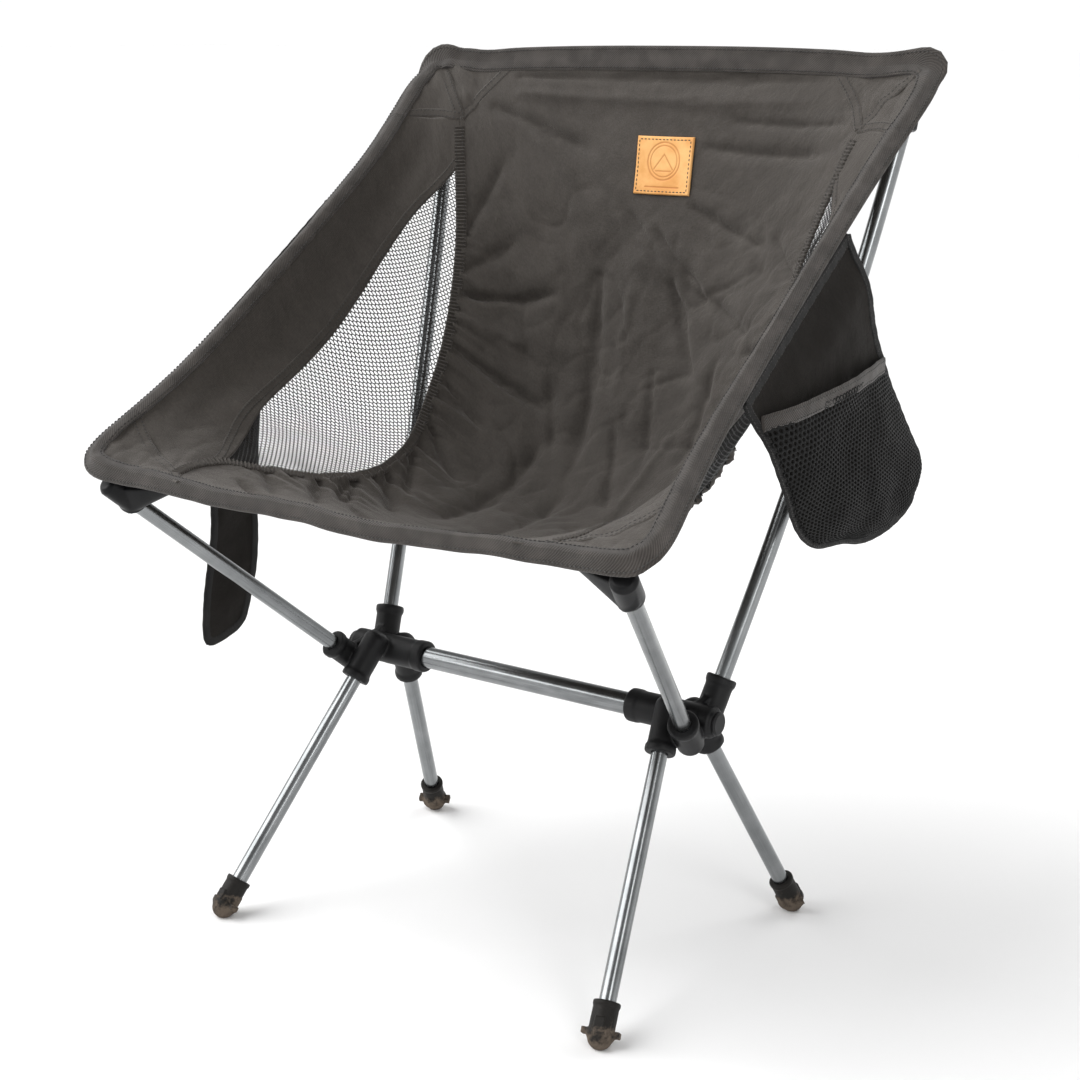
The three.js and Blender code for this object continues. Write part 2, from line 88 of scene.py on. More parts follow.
SEAT_HALF = 240
EDGE_FRONT = xyz(SEAT_HALF, -216, 376)
EDGE_BACK = EDGE_FRONT + (-9, 409, 280)


# ---- shader maths -----------------------------------------------------------------------------
class Value:
    """A number that varies over a surface; arithmetic on it adds the nodes that work it out."""

    def __init__(self, finish, socket):
        self.finish = finish
        self.socket = socket

    def worked(self, operation, *values):
        inputs = dict(enumerate(values))
        return self.finish.value("ShaderNodeMath", {"operation": operation}, inputs)

    def __add__(self, other):
        return self.worked("ADD", self, other)

    def __radd__(self, other):
        return self.worked("ADD", other, self)

    def __sub__(self, other):
        return self.worked("SUBTRACT", self, other)

    def __rsub__(self, other):
        return self.worked("SUBTRACT", other, self)

    def __mul__(self, other):
        return self.worked("MULTIPLY", self, other)

    def __rmul__(self, other):
        return self.worked("MULTIPLY", other, self)

    def __abs__(self):
        return self.worked("ABSOLUTE", self)

    def wave(self, length):
        """A sine wave of this length, from -1 to 1."""
        return self.worked("SINE", self * (math.tau / length))

    def between(self, low, high):
        """0 below low and 1 above high, with a soft step between them."""
        inputs = {"Value": self, "From Min": low, "From Max": high}
        return self.finish.value("ShaderNodeMapRange", {"interpolation_type": "SMOOTHSTEP"}, inputs)


class Finish:
    """A material being made: its shader, and the nodes that vary it over the surface."""

    def __init__(self, name, **constants):
        self.material = bpy.data.materials.new(name)
        self.material.use_nodes = True
        self.tree = self.material.node_tree
        self.tree.nodes.clear()
        self.shader = self.node("ShaderNodeBsdfPrincipled")
        self.node("ShaderNodeOutputMaterial", {}, {"Surface": self.shader.outputs[0]})
        for socket, value in constants.items():
            self.feed(self.shader.inputs[socket.replace("_", " ")], value)

    def node(self, kind, settings=None, inputs=None):
        made = self.tree.nodes.new(kind)
        for name, setting in (settings or {}).items():
            setattr(made, name, setting)
        for name, value in (inputs or {}).items():
            self.feed(made.inputs[name], value)
        return made

    def feed(self, socket, value):
        if isinstance(value, Value):
            value = value.socket
        if isinstance(value, bpy.types.NodeSocket):
            self.tree.links.new(value, socket)
        else:
            socket.default_value = value

    def value(self, kind, settings, inputs):
        return Value(self, self.node(kind, settings, inputs).outputs[0])

    def vary(self, **sockets):
        for name, value in sockets.items():
            self.feed(self.shader.inputs[name.replace("_", " ")], value)

    def place(self):
        return self.node("ShaderNodeTexCoord").outputs["Object"]

    def cut(self):
        """Where a point lies on the flat cut of its cloth or round its tube, in mm."""
        return self.node("ShaderNodeUVMap", {"uv_map": "cut"}).outputs[0]

    def parts(self, vector):
        made = self.node("ShaderNodeSeparateXYZ", {}, {0: vector})
        return [Value(self, socket) for socket in made.outputs]

    def scaled(self, vector, *factors):
        settings = {"operation": "MULTIPLY"}
        return self.node("ShaderNodeVectorMath", settings, {0: vector, 1: factors}).outputs[0]

    def grain(self, vector, scale, detail=2.0, rough=0.5):
        """Noise from 0 to 1; scale is how many grains lie in one unit of the vector."""
        inputs = {"Vector": vector, "Scale": scale, "Detail": detail, "Roughness": rough}
        return self.value("ShaderNodeTexNoise", {}, inputs)

    def mixed(self, mask, start, end):
        settings = {"data_type": "RGBA", "clamp_factor": True}
        made = self.node("ShaderNodeMix", settings, {0: mask, 6: start, 7: end})
        return made.outputs[2]

    def raised(self, height, depth, strength=1.0):
        """Stands the surface up by height, where 1 is this depth in metres."""
        inputs = {"Height": height, "Distance": depth, "Strength": strength}
        self.vary(Normal=self.node("ShaderNodeBump", {}, inputs).outputs[0])


def woven(finish, pitch):
    """The over and under of a plain weave with threads this far apart, from 0 to 1."""
    u, v, _ = finish.parts(finish.cut())
    warp = u.wave(2 * pitch)
    weft = v.wave(2 * pitch)
    over = (warp * weft).between(-0.25, 0.25)
    return abs(warp) * over + abs(weft) * (1 - over)


def seat_cloth(name, dark, light, sheen=0.3, shine=0.35, pitch=0.75):
    finish = Finish(name, Sheen_Weight=sheen, Sheen_Roughness=0.4, Specular_IOR_Level=shine)
    finish.shader.inputs["Sheen Tint"].default_value = (0.9, 0.86, 0.82, 1)
    weave = woven(finish, pitch)
    cut = finish.cut()
    slubs = finish.grain(finish.scaled(cut, 0.22, 1.6, 1), 1.0, 3) * 0.5
    slubs = slubs + finish.grain(finish.scaled(cut, 1.6, 0.22, 1), 1.0, 3) * 0.5
    faded = finish.grain(cut, 0.011, 4)
    mottled = finish.grain(cut, 0.6, 3, 0.7)
    rubbed = finish.grain(cut, 0.07, 5, 0.65)
    tone = weave * 0.1 + slubs.between(0.35, 0.65) * 0.25 + faded.between(0.3, 0.7) * 0.2
    tone = tone + mottled.between(0.3, 0.7) * 0.25 + rubbed.between(0.35, 0.7) * 0.2
    finish.vary(Base_Color=finish.mixed(tone, dark, light), Roughness=0.7 + slubs * 0.16)
    finish.raised(weave * 0.14 + slubs * 0.12 + mottled * 0.3 + rubbed * 1.6, 0.0011, 0.8)
    return finish.material


def edge_tape(name, dark, light, sheen=0.2):
    """Twill tape: slanting ribs, woven tight, a little rubbed on the ridges."""
    finish = Finish(name, Sheen_Weight=sheen, Sheen_Roughness=0.5, Specular_IOR_Level=0.3)
    u, v, _ = finish.parts(finish.cut())
    ribs = (u + v).wave(2.1) * 0.5 + 0.5
    threads = (u - v).wave(0.9) * 0.5 + 0.5
    rubbed = finish.grain(finish.cut(), 0.05, 4).between(0.35, 0.7)
    finish.vary(Base_Color=finish.mixed(ribs * 0.45 + threads * 0.1 + rubbed * 0.45, dark, light),
                Roughness=0.85 - rubbed * 0.1)
    finish.raised(ribs + threads * 0.3, 0.00035, 0.8)
    return finish.material


def knitted(name, dark, light, sheen=0.2):
    """Round polyester thread of a net, with the twist of its fibres."""
    finish = Finish(name, Sheen_Weight=sheen, Sheen_Roughness=0.4, Specular_IOR_Level=0.2)
    place = finish.place()
    fibres = finish.grain(place, 2600.0, 2)
    dusty = finish.grain(place, 28.0, 3).between(0.4, 0.7)
    finish.vary(Base_Color=finish.mixed(fibres * 0.5 + dusty * 0.5, dark, light),
                Roughness=0.55 + fibres * 0.3)
    finish.raised(fibres, 0.00012, 0.6)
    return finish.material


def sewing_thread(name, dark, light):
    finish = Finish(name, Sheen_Weight=0.1)
    strands = finish.grain(finish.place(), 3800.0, 2)
    finish.vary(Base_Color=finish.mixed(strands, dark, light), Roughness=0.5 + strands * 0.25)
    finish.raised(strands, 0.00008, 0.6)
    return finish.material


def anodised(name):
    """Satin anodised tube with the faint lengthwise lines that drawing leaves."""
    finish = Finish(name, Metallic=1.0, Specular_IOR_Level=0.5)
    cut = finish.cut()
    drawn = finish.grain(finish.scaled(cut, 2.4, 0.012, 1), 1.0, 4, 0.6)
    clouds = finish.grain(cut, 0.03, 3)
    worn = finish.grain(finish.scaled(cut, 1.0, 0.35, 1), 0.5, 5, 0.7).between(0.66, 0.8)
    tone = drawn * 0.5 + clouds * 0.5
    colour = finish.mixed(tone.between(0.3, 0.7), (0.17, 0.178, 0.182, 1), (0.31, 0.32, 0.325, 1))
    finish.vary(Base_Color=finish.mixed(worn * 0.25, colour, (0.48, 0.49, 0.49, 1)),
                Roughness=0.17 + drawn * 0.14 + worn * 0.1)
    finish.raised(drawn, 0.00002, 0.5)
    return finish.material


def moulded_black(name, gloss=0.5, shine=0.25):
    """Glass-filled nylon: a fine spark-eroded texture, paler where edges have been rubbed."""
    finish = Finish(name, Specular_IOR_Level=shine)
    place = finish.place()
    texture = finish.grain(place, 1900.0, 2)
    flow = finish.grain(place, 60.0, 4)
    edges = Value(finish, finish.node("ShaderNodeNewGeometry").outputs["Pointiness"]).between(0.53, 0.6)
    tone = flow.between(0.3, 0.7) * 0.5 + edges * 0.5
    finish.vary(Base_Color=finish.mixed(tone, (0.004, 0.004, 0.0045, 1), (0.013, 0.013, 0.0135, 1)),
                Roughness=gloss - 0.08 + flow * 0.16)
    finish.raised(texture, 0.00009, 0.5)
    return finish.material


def foot_rubber(name):
    """Black rubber with dried earth rubbed into the lower end and into its grooves."""
    finish = Finish(name, Specular_IOR_Level=0.18)
    place = finish.place()
    height = finish.parts(place)[2]
    patches = finish.grain(place, 140.0, 5, 0.65)
    specks = finish.grain(place, 900.0, 3)
    low = 1 - height.between(0.004, 0.026)
    earth = (patches + low * 0.45 + specks * 0.12).between(0.68, 0.98)
    rubber = finish.mixed(specks, (0.006, 0.0055, 0.005, 1), (0.018, 0.016, 0.014, 1))
    soil = finish.mixed(patches, (0.040, 0.030, 0.023, 1), (0.17, 0.135, 0.105, 1))
    finish.vary(Base_Color=finish.mixed(earth, rubber, soil), Roughness=0.55 + earth * 0.35)
    finish.raised(patches * 0.6 + specks * 0.5, 0.0005, 0.6)
    return finish.material


def braided_cord(name):
    finish = Finish(name, Sheen_Weight=0.2)
    x, y, z = finish.parts(finish.place())
    braid = ((x + z) * 1000.0).wave(1.6) * ((y - z) * 1000.0).wave(1.6)
    sleeve = finish.mixed(braid.between(-0.6, 0.6), (0.012, 0.012, 0.013, 1), (0.05, 0.05, 0.052, 1))
    finish.vary(Base_Color=sleeve, Roughness=0.8 - braid * 0.1)
    finish.raised(braid, 0.0002, 0.7)
    return finish.material


def label_leather(name):
    """Tan leather: pores, faint clouds, and a darker burnished tone along the pressed lines."""
    finish = Finish(name, Specular_IOR_Level=0.4, Coat_Roughness=0.4)
    place = finish.place()
    pores = finish.grain(place, 1500.0, 3, 0.6)
    clouds = finish.grain(place, 70.0, 4)
    pressed = Value(finish, finish.node("ShaderNodeAttribute", {"attribute_name": "pressed"}).outputs["Fac"])
    tone = clouds.between(0.3, 0.7) * 0.7 + pores * 0.3
    tan = finish.mixed(tone, (0.74, 0.33, 0.085, 1), (0.95, 0.53, 0.20, 1))
    finish.vary(Base_Color=finish.mixed(pressed * 0.8, tan, (0.50, 0.17, 0.035, 1)),
                Roughness=0.5 + pores * 0.2)
    finish.raised(pores, 0.0001, 0.6)
    return finish.material


def studio_floor(name):
    finish = Finish(name, Roughness=0.9, Specular_IOR_Level=0.1)
    clouds = finish.grain(finish.place(), 1.5, 2)
    finish.vary(Base_Color=finish.mixed(clouds, (0.90, 0.90, 0.90, 1), (0.93, 0.93, 0.93, 1)))
    return finish.material


CHARCOAL = seat_cloth("seat_cloth", (0.030, 0.0255, 0.0215, 1), (0.078, 0.068, 0.059, 1))
POCKET_CLOTH = seat_cloth("pocket_cloth", (0.008, 0.007, 0.006, 1), (0.020, 0.0175, 0.0155, 1), 0.05, 0.1)
TAPE = edge_tape("edge_tape", (0.022, 0.019, 0.0165, 1), (0.070, 0.060, 0.053, 1))
BINDING = edge_tape("pocket_binding", (0.004, 0.004, 0.004, 1), (0.012, 0.011, 0.0105, 1), 0.05)
NET = knitted("net", (0.010, 0.010, 0.010, 1), (0.026, 0.025, 0.024, 1))
POUCH_NET = knitted("pouch_net", (0.002, 0.002, 0.002, 1), (0.008, 0.008, 0.0076, 1), 0.03)
THREAD = sewing_thread("sewing_thread", (0.014, 0.013, 0.012, 1), (0.034, 0.031, 0.028, 1))
ALUMINIUM = anodised("pole_aluminium")
MOULDED = moulded_black("moulded_black")
SLEEVE = moulded_black("corner_sleeve", 0.36, 0.16)
RUBBER = foot_rubber("foot_rubber")
ELASTIC = braided_cord("elastic_cord")
LEATHER = label_leather("label_leather")


# ---- mesh making ------------------------------------------------------------------------------
def mix(a, b, share):
    return a + (b - a) * share


def smoothstep(low, high, value):
    t = np.clip((value - low) / (high - low), 0, 1)
    return t * t * (3 - 2 * t)


def unit(vector):
    return vector / np.maximum(np.linalg.norm(vector, axis=-1, keepdims=True), 1e-12)


def sewn(name, points, faces, material, uv=None, angle=None):
    """A mesh piece from points in mm; uv gives each face corner's place on the flat cut, in mm."""
    mesh = bpy.data.meshes.new(name)
    placed = (np.asarray(points, float).reshape(-1, 3) + (0, BAR_Y, 0)) * MM
    mesh.from_pydata(placed.tolist(), [], faces if isinstance(faces, list) else faces.tolist())
    layer = mesh.uv_layers.new(name="cut")
    if uv is not None:
        layer.data.foreach_set("uv", np.asarray(uv, np.float32).ravel())
    mesh.polygons.foreach_set("use_smooth", [True] * len(mesh.polygons))
    if angle:
        mesh.set_sharp_from_angle(angle=math.radians(angle))
    mesh.materials.append(material)
    made = bpy.data.objects.new(name, mesh)
    bpy.context.scene.collection.objects.link(made)
    return made


def lattice(rows, cols, round_rows=False, round_cols=False):
    """Faces over a lattice of points, and the row and column of each face corner."""
    i, j = np.meshgrid(np.arange(rows - (not round_rows)), np.arange(cols - (not round_cols)), indexing="ij")
    corner_rows = np.stack((i, i, i + 1, i + 1), -1).reshape(-1, 4)
    corner_cols = np.stack((j, j + 1, j + 1, j), -1).reshape(-1, 4)
    return (corner_rows % rows) * cols + corner_cols % cols, corner_rows, corner_cols


def lofted(name, points, material, uv, around=(False, False), angle=None):
    """A piece over a lattice of points. uv has one more row or column where the lattice closes."""
    faces, rows, cols = lattice(*points.shape[:2], *around)
    return sewn(name, points, faces, material, uv[rows, cols], angle)


def tidied(made):
    """Joins points that meet, and turns every face outwards."""
    work = bmesh.new()
    work.from_mesh(made.data)
    bmesh.ops.remove_doubles(work, verts=work.verts, dist=1e-6)
    bmesh.ops.dissolve_degenerate(work, edges=work.edges, dist=1e-7)
    bmesh.ops.recalc_face_normals(work, faces=work.faces)
    work.to_mesh(made.data)
    work.free()
    return made


def lengths(line):
    steps = np.linalg.norm(np.diff(line, axis=0), axis=1)
    return np.concatenate(([0], np.cumsum(steps)))


def smooth_line(points, steps=40):
    """Points along a centripetal curve through the given ones, so many to each stretch."""
    p = np.asarray(points, float)
    p = np.concatenate(([2 * p[0] - p[1]], p, [2 * p[-1] - p[-2]]))
    made = []
    for a, b, c, d in zip(p[:-3], p[1:-2], p[2:-1], p[3:]):
        gaps = [max(np.linalg.norm(q - o) ** 0.5, 1e-4) for o, q in ((a, b), (b, c), (c, d))]
        out = ((b - a) / gaps[0] - (c - a) / (gaps[0] + gaps[1]) + (c - b) / gaps[1]) * gaps[1]
        into = ((c - b) / gaps[1] - (d - b) / (gaps[1] + gaps[2]) + (d - c) / gaps[2]) * gaps[1]
        t = np.linspace(0, 1, steps, endpoint=False)[:, None]
        made.append(b + out * t + (3 * (c - b) - 2 * out - into) * t ** 2
                    + (2 * (b - c) + out + into) * t ** 3)
    return np.concatenate((*made, p[-2:-1]))


def read_at(shares, line, stations):
    """The line's points at these stations, between 0 and 1, given the share that each point has."""
    return np.stack([np.interp(stations, shares, line[:, k]) for k in range(line.shape[1])], -1)


def even(line, count):
    run = lengths(line)
    return read_at(run / run[-1], line, np.linspace(0, 1, count))


def frames_along(line):
    """Tangent and two cross directions at each point, carried along without twist."""
    tangent = unit(np.gradient(line, axis=0))
    first = np.cross(tangent[0], (0, 0, 1) if abs(tangent[0][2]) < 0.9 else (1, 0, 0))
    crosses = [unit(first)]
    for t in tangent[1:]:
        crosses.append(unit(crosses[-1] - t * np.dot(crosses[-1], t)))
    across = np.array(crosses)
    return tangent, across, np.cross(tangent, across)


def ride(made, body, *nodes):
    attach(made, body)
    if nodes:
        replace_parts(made, *nodes)
    return made


# ---- frame ------------------------------------------------------------------------------------
def in_hub(x, y, z):
    return xyz(HUB_X + x, y, BAR_Z + z)


LEGS = {"front": (in_hub(-7.3, -36.2, -18.3), xyz(181.9, -165.3, 4)),
        "back": (in_hub(-6.2, 36.3, -33.3), xyz(184.2, 113.9, 4))}
FRONT_POLE = (in_hub(13.5, -38.4, 9.7), EDGE_FRONT + (-11.7, 6.8, -22))
BACK_POLE = (in_hub(6.9, 29, 26.2), EDGE_BACK + (-13.5, -2, -22))
POLE_BOW = xyz(2.5, 8.5, 0)


def bowed_pole():
    """The back pole's axis from its mouth in the hub to its tip, bowed by the pull of the seat."""
    start, end = BACK_POLE
    middle = mix(start, end, 0.5) + POLE_BOW * 2
    t = np.linspace(0, 1, 60)[:, None]
    return (1 - t) ** 2 * start + 2 * t * (1 - t) * middle + t ** 2 * end


BACK_LINE = bowed_pole()
SPOKES = {"leg_front": (LEGS["front"][0], unit(LEGS["front"][1] - LEGS["front"][0])),
          "leg_back": (LEGS["back"][0], unit(LEGS["back"][1] - LEGS["back"][0])),
          "pole_front": (FRONT_POLE[0], unit(FRONT_POLE[1] - FRONT_POLE[0])),
          "pole_back": (BACK_POLE[0], unit(BACK_LINE[1] - BACK_LINE[0]))}


def mirrored(points, side):
    return np.asarray(points, float) * (side, 1, 1)


def pipe(name, line, radius, wall, around=44, bevel=0.35):
    """A drawn tube along a line, open through its length, with its cut ends broken."""
    run = lengths(line)
    tangent, cross, lift = frames_along(line)
    angles = np.linspace(0, math.tau, around, endpoint=False)
    last = len(line) - 1
    rings = [(0, radius - bevel, 0), (0, radius, bevel)]
    rings += [(k, radius, 0) for k in range(1, last)]
    rings += [(last, radius, -bevel)]
    rings += [(len(line) - 1, radius - bevel, 0), (len(line) - 1, radius - wall, 0)]
    rings += [(k, radius - wall, 0) for k in range(len(line) - 2, 0, -1)]
    rings += [(0, radius - wall, 0)]
    points, uv = [], []
    for k, r, slide in rings:
        circle = np.cos(angles)[:, None] * cross[k] + np.sin(angles)[:, None] * lift[k]
        points.append(line[k] + tangent[k] * slide + circle * r)
        uv.append([(a * r, run[k] + slide) for a in np.append(angles, math.tau)])
    uv.append(uv[0])
    made = lofted(name, np.array(points), ALUMINIUM, np.array(uv), (True, True), 40)
    return tidied(made)


def straight(start, end, count=8):
    return mix(start, end, np.linspace(0, 1, count)[:, None])


def turned(profile, start, axis, around=48):
    """Points of a turned shape: profile is pairs of radius and height along the axis from start."""
    _, cross, lift = frames_along(straight(start, start + axis, 3))
    angles = np.linspace(0, math.tau, around, endpoint=False)
    circle = np.cos(angles)[:, None] * cross[0] + np.sin(angles)[:, None] * lift[0]
    return np.array([start + axis * height + circle * radius for radius, height in profile])


def solid(points):
    """A closed mesh object in mm over rings that start and end on the axis, to join or cut with."""
    faces = lattice(*points.shape[:2], False, True)[0]
    return tidied(sewn("blank", points, faces, MOULDED))


def box_solid(centre, axes, sizes):
    """A block along three directions, as rings from one end to the other."""
    a, b, c = (np.asarray(axis) * size / 2 for axis, size in zip(axes, sizes))
    ring = np.array([a + b, b - a, -a - b, a - b])
    middle = np.array([[centre - c] * 4, *(centre + ring + c * s for s in (-1, 1)), [centre + c] * 4])
    return solid(middle)


def moulding(name, solids, bores, material, grain, rounding):
    """Solids fused into one moulding whose edges and inner corners are rounded, then bored out."""
    blank = solids[0]
    for other in solids[1:]:
        work = bmesh.new()
        work.from_mesh(blank.data)
        work.from_mesh(other.data)
        work.to_mesh(blank.data)
        work.free()
    remesh = blank.modifiers.new("fuse", "REMESH")
    remesh.mode = "VOXEL"
    remesh.voxel_size = grain * MM
    smooth = blank.modifiers.new("round", "SMOOTH")
    smooth.iterations = rounding
    for k, bore in enumerate(bores):
        cut = blank.modifiers.new(f"bore_{k}", "BOOLEAN")
        cut.operation = "DIFFERENCE"
        cut.solver = "MANIFOLD"
        cut.object = bore
    blank.modifiers.new("facets", "TRIANGULATE")
    bpy.context.view_layer.update()
    graph = bpy.context.evaluated_depsgraph_get()
    mesh = bpy.data.meshes.new_from_object(blank.evaluated_get(graph))
    mesh.name = name
    mesh.materials.clear()
    mesh.materials.append(material)
    mesh.polygons.foreach_set("use_smooth", [True] * len(mesh.polygons))
    mesh.set_sharp_from_angle(angle=math.radians(48))
    made = bpy.data.objects.new(name, mesh)
    bpy.context.scene.collection.objects.link(made)
    for spare in (*solids, *bores):
        bpy.data.objects.remove(spare)
    return made


def other_side(made, name):
    """The same piece for the other side of the stool."""
    mesh = made.data.copy()
    mesh.name = name
    mesh.transform(Matrix.Diagonal((-1, 1, 1, 1)))
    mesh.flip_normals()
    copy = bpy.data.objects.new(name, mesh)
    bpy.context.scene.collection.objects.link(copy)
    return copy


def hub_moulding():
    axis = xyz(1, 0, 0)
    middle = xyz(HUB_X, 0, BAR_Z)
    collar = [(0, 0), (COLLAR_R - 1.2, 0), (COLLAR_R - 0.3, 0.5), (COLLAR_R, 1.4), (COLLAR_R, 9),
              (COLLAR_R - 0.7, 10), (COLLAR_R - 0.7, 40), (0, 40)]
    boss = [(0, 0), (BOSS_R + 1.6, 0), (BOSS_R + 1.6, 50), (0, 50)]
    crown = [(0, 0), (BOSS_R, 0), (BOSS_R, 4), (BOSS_R - 1, 5), (0, 5)]
    parts = [solid(turned(collar, xyz(COLLAR_MOUTH_X, 0, BAR_Z), axis)),
             solid(turned(boss, xyz(HUB_OUTER_X - 53, 0, BAR_Z), axis)),
             solid(turned(crown, xyz(HUB_OUTER_X - 5, 0, BAR_Z), axis))]
    bores = [solid(turned([(0, 0), (BAR_R + GAP, 0), (BAR_R + GAP, COLLAR_DEPTH + 5), (0, COLLAR_DEPTH + 5)],
                          xyz(COLLAR_MOUTH_X - 5 + GAP, 0, BAR_Z), axis)),
             solid(turned([(0, 0), (STEM_R + GAP, 0), (STEM_R + GAP, 9.5), (0, 9.5)],
                          xyz(HUB_OUTER_X - 8.5, 0, BAR_Z), axis))]
    socket = [(0, 0), (LIP_R - 0.8, 0), (LIP_R, 0.8), (LIP_R, 5), (SOCKET_R, 7), (SOCKET_R, SOCKET_DEPTH),
              (SOCKET_R * 0.87, SOCKET_DEPTH + 3.4), (SOCKET_R * 0.5, SOCKET_DEPTH + 5.6),
              (0, SOCKET_DEPTH + 6)]
    bore = [(0, 0), (POLE_R + GAP, 0), (POLE_R + GAP, SOCKET_DEPTH + 5), (0, SOCKET_DEPTH + 5)]
    for mouth, direction in SPOKES.values():
        parts.append(solid(turned(socket, mouth, -direction)))
        bores.append(solid(turned(bore, mouth + direction * 5, -direction)))
        # a web ties each socket back to the middle of the hub
        foot = mouth - direction * (SOCKET_DEPTH * 0.62)
        run = unit(middle - foot)
        lie = unit(np.cross(run, direction))
        parts.append(box_solid(mix(foot, middle, 0.5), (lie, np.cross(run, lie), run),
                               (7, 22, np.linalg.norm(middle - foot))))
    return moulding("hub_right_moulding", parts, bores, MOULDED, 0.9, 7)


def foot_moulding(end):
    mouth, tip = LEGS[end]
    up = unit(mouth - tip)
    lift = (FOOT_R - FOOT_WORN - tip[2]) / up[2]
    centre = tip + up * lift
    start = centre - up * FOOT_R
    round_end = [(FOOT_R * math.cos(a), FOOT_R * (1 + math.sin(a))) for a in np.radians(range(-75, -14, 15))]
    profile = [(0, 0), *round_end]
    profile += [(FOOT_R + 1.6, 10.2), (FOOT_R + 1.6, 13.2), (FOOT_R + 0.2, 14.4), (FOOT_R + 0.1, 30),
                (FOOT_R + 0.7, 31), (FOOT_R + 0.7, FOOT_LENGTH - 0.5), (FOOT_R + 0.2, FOOT_LENGTH),
                (0, FOOT_LENGTH)]
    side = unit(np.cross((0, 0, 1), up))
    front = np.cross(side, up)
    parts = [solid(turned(profile, start, up))]
    axes = (side, up, front)
    # an ear on each side, and a raised plate on the front and back of the sleeve
    for way in (-1, 1):
        parts.append(box_solid(start + side * way * (FOOT_R + 2) + up * 12, axes, (5.5, 4.5, 7)))
    for way in (-1, 1):
        parts.append(box_solid(start + front * way * (FOOT_R - 0.3) + up * 18, axes, (7.5, 7, 2.2)))
    bore = solid(turned([(0, 0), (POLE_R + GAP, 0), (POLE_R + GAP, FOOT_LENGTH), (0, FOOT_LENGTH)],
                        start + up * FOOT_SEAT, up))
    floor = box_solid(xyz(start[0], start[1], -15), np.eye(3), (80, 80, 30))
    return moulding(f"foot_{end}_right_rubber", parts, [bore, floor], RUBBER, 0.55, 3), start, up


def build_frame():
    hub = hub_moulding()
    for name, side in SIDES:
        made = hub if side > 0 else other_side(hub, "hub_left_moulding")
        ride(made, "frame", f"hub_{name}")
    for end in ("front", "back"):
        foot, start, up = foot_moulding(end)
        mouth, direction = SPOKES[f"leg_{end}"]
        for name, side in SIDES:
            made = foot if side > 0 else other_side(foot, f"foot_{end}_left_rubber")
            ride(made, f"leg_{end}_{name}", f"foot_{end}_{name}")
            line = straight(mirrored(start + up * (FOOT_SEAT + GAP), side),
                            mirrored(mouth - direction * SOCKET_DEPTH, side))
            leg = f"leg_{end}_{name}"
            ride(pipe(f"{leg}_tube", line, POLE_R, POLE_WALL), leg, leg)
    mouth, direction = SPOKES["pole_front"]
    inside = BACK_POLE[0] - SPOKES["pole_back"][1] * SOCKET_DEPTH
    back = smooth_line([inside, *even(BACK_LINE, 5)], 12)
    run = lengths(back)
    join = run[-1] * JOIN_AT
    for name, side in SIDES:
        line = straight(mouth - direction * SOCKET_DEPTH, FRONT_POLE[1])
        made = pipe(f"pole_front_{name}_tube", mirrored(line, side), POLE_R, POLE_WALL)
        ride(made, "frame", f"pole_front_{name}")
        for part, low, high in (("lower", 0, join - GAP / 2), ("upper", join + GAP / 2, run[-1])):
            line = read_at(run, back, np.linspace(low, high, 16))
            made = pipe(f"pole_back_{part}_{name}_tube", mirrored(line, side), POLE_R, POLE_WALL)
            ride(made, "frame", f"pole_back_{part}_{name}")
    bar = COLLAR_MOUTH_X + COLLAR_DEPTH
    line = straight(xyz(-bar, 0, BAR_Z), xyz(bar, 0, BAR_Z))
    ride(pipe("crossbar_tube", line, BAR_R, BAR_WALL, 56), "crossbar", "crossbar")


# ---- seat surface -----------------------------------------------------------------------------
EDGE_BOW = 6
PROFILE = [(-0.007, -0.029), (0.161, -0.107), (0.357, -0.2), (0.553, -0.254), (0.711, -0.214),
           (0.817, -0.086), (0.883, 0.114), (0.934, 0.371), (0.973, 0.657), (1.012, 1.025)]
MIDDLE = smooth_line([EDGE_FRONT * (0, 1, 1) + (0, back * 409, rise * 280) for back, rise in PROFILE])
MIDDLE_RUN = lengths(MIDDLE)
DEEP = MIDDLE_RUN[-1]        # length of the cloth along its middle
SIDE_WALL = 2.6
FRONT_PATCH = {"hem": (0.62, 0.0), "inner": (0.705, 0.024), "side": (1.0, 0.115), "corner": (1.004, -0.006)}
BACK_PATCH = {"hem": (0.66, 1.0), "inner": (0.82, 0.9), "side": (1.0, 0.85), "corner": (0.994, 0.996)}
# how far the poles draw the corners of the cloth out
CORNER_REACH = {"front": xyz(11, -8, -1), "back": xyz(10, 4, 12)}
CORNER_PULL = 0.99           # higher is a tighter turn of the edge round a corner
GATHERED = smooth_line([(0.705, 0.024), (0.74, 0.07), (0.725, 0.115), (0.665, 0.155), (0.595, 0.23),
                        (0.575, 0.32), (0.59, 0.40), (0.635, 0.5), (0.665, 0.62), (0.705, 0.725),
                        (0.82, 0.9)])
BAND_INNER = smooth_line([(0.70, 0.02), (0.70, 0.07), (0.735, 0.122), (0.795, 0.18), (0.84, 0.242),
                          (0.865, 0.4), (0.865, 0.6), (0.84, 0.72), (0.78, 0.819), (0.74, 0.91)])
NET_UP = (0.115, 0.83)       # from the lower to the upper end of the net
# which way the folded edge hangs off the cloth, one mm long
AWAY = {"front": xyz(0, -0.12, -0.993), "back": xyz(0, 0.2, 0.98), "side": xyz(0.9, 0, -0.436)}


def edge(up):
    up = np.asarray(up, float)
    bow = 4 * up * (1 - up)
    straight_edge = EDGE_FRONT + up[..., None] * (EDGE_BACK - EDGE_FRONT)
    return straight_edge + bow[..., None] * xyz(-EDGE_BOW, 2, -3)


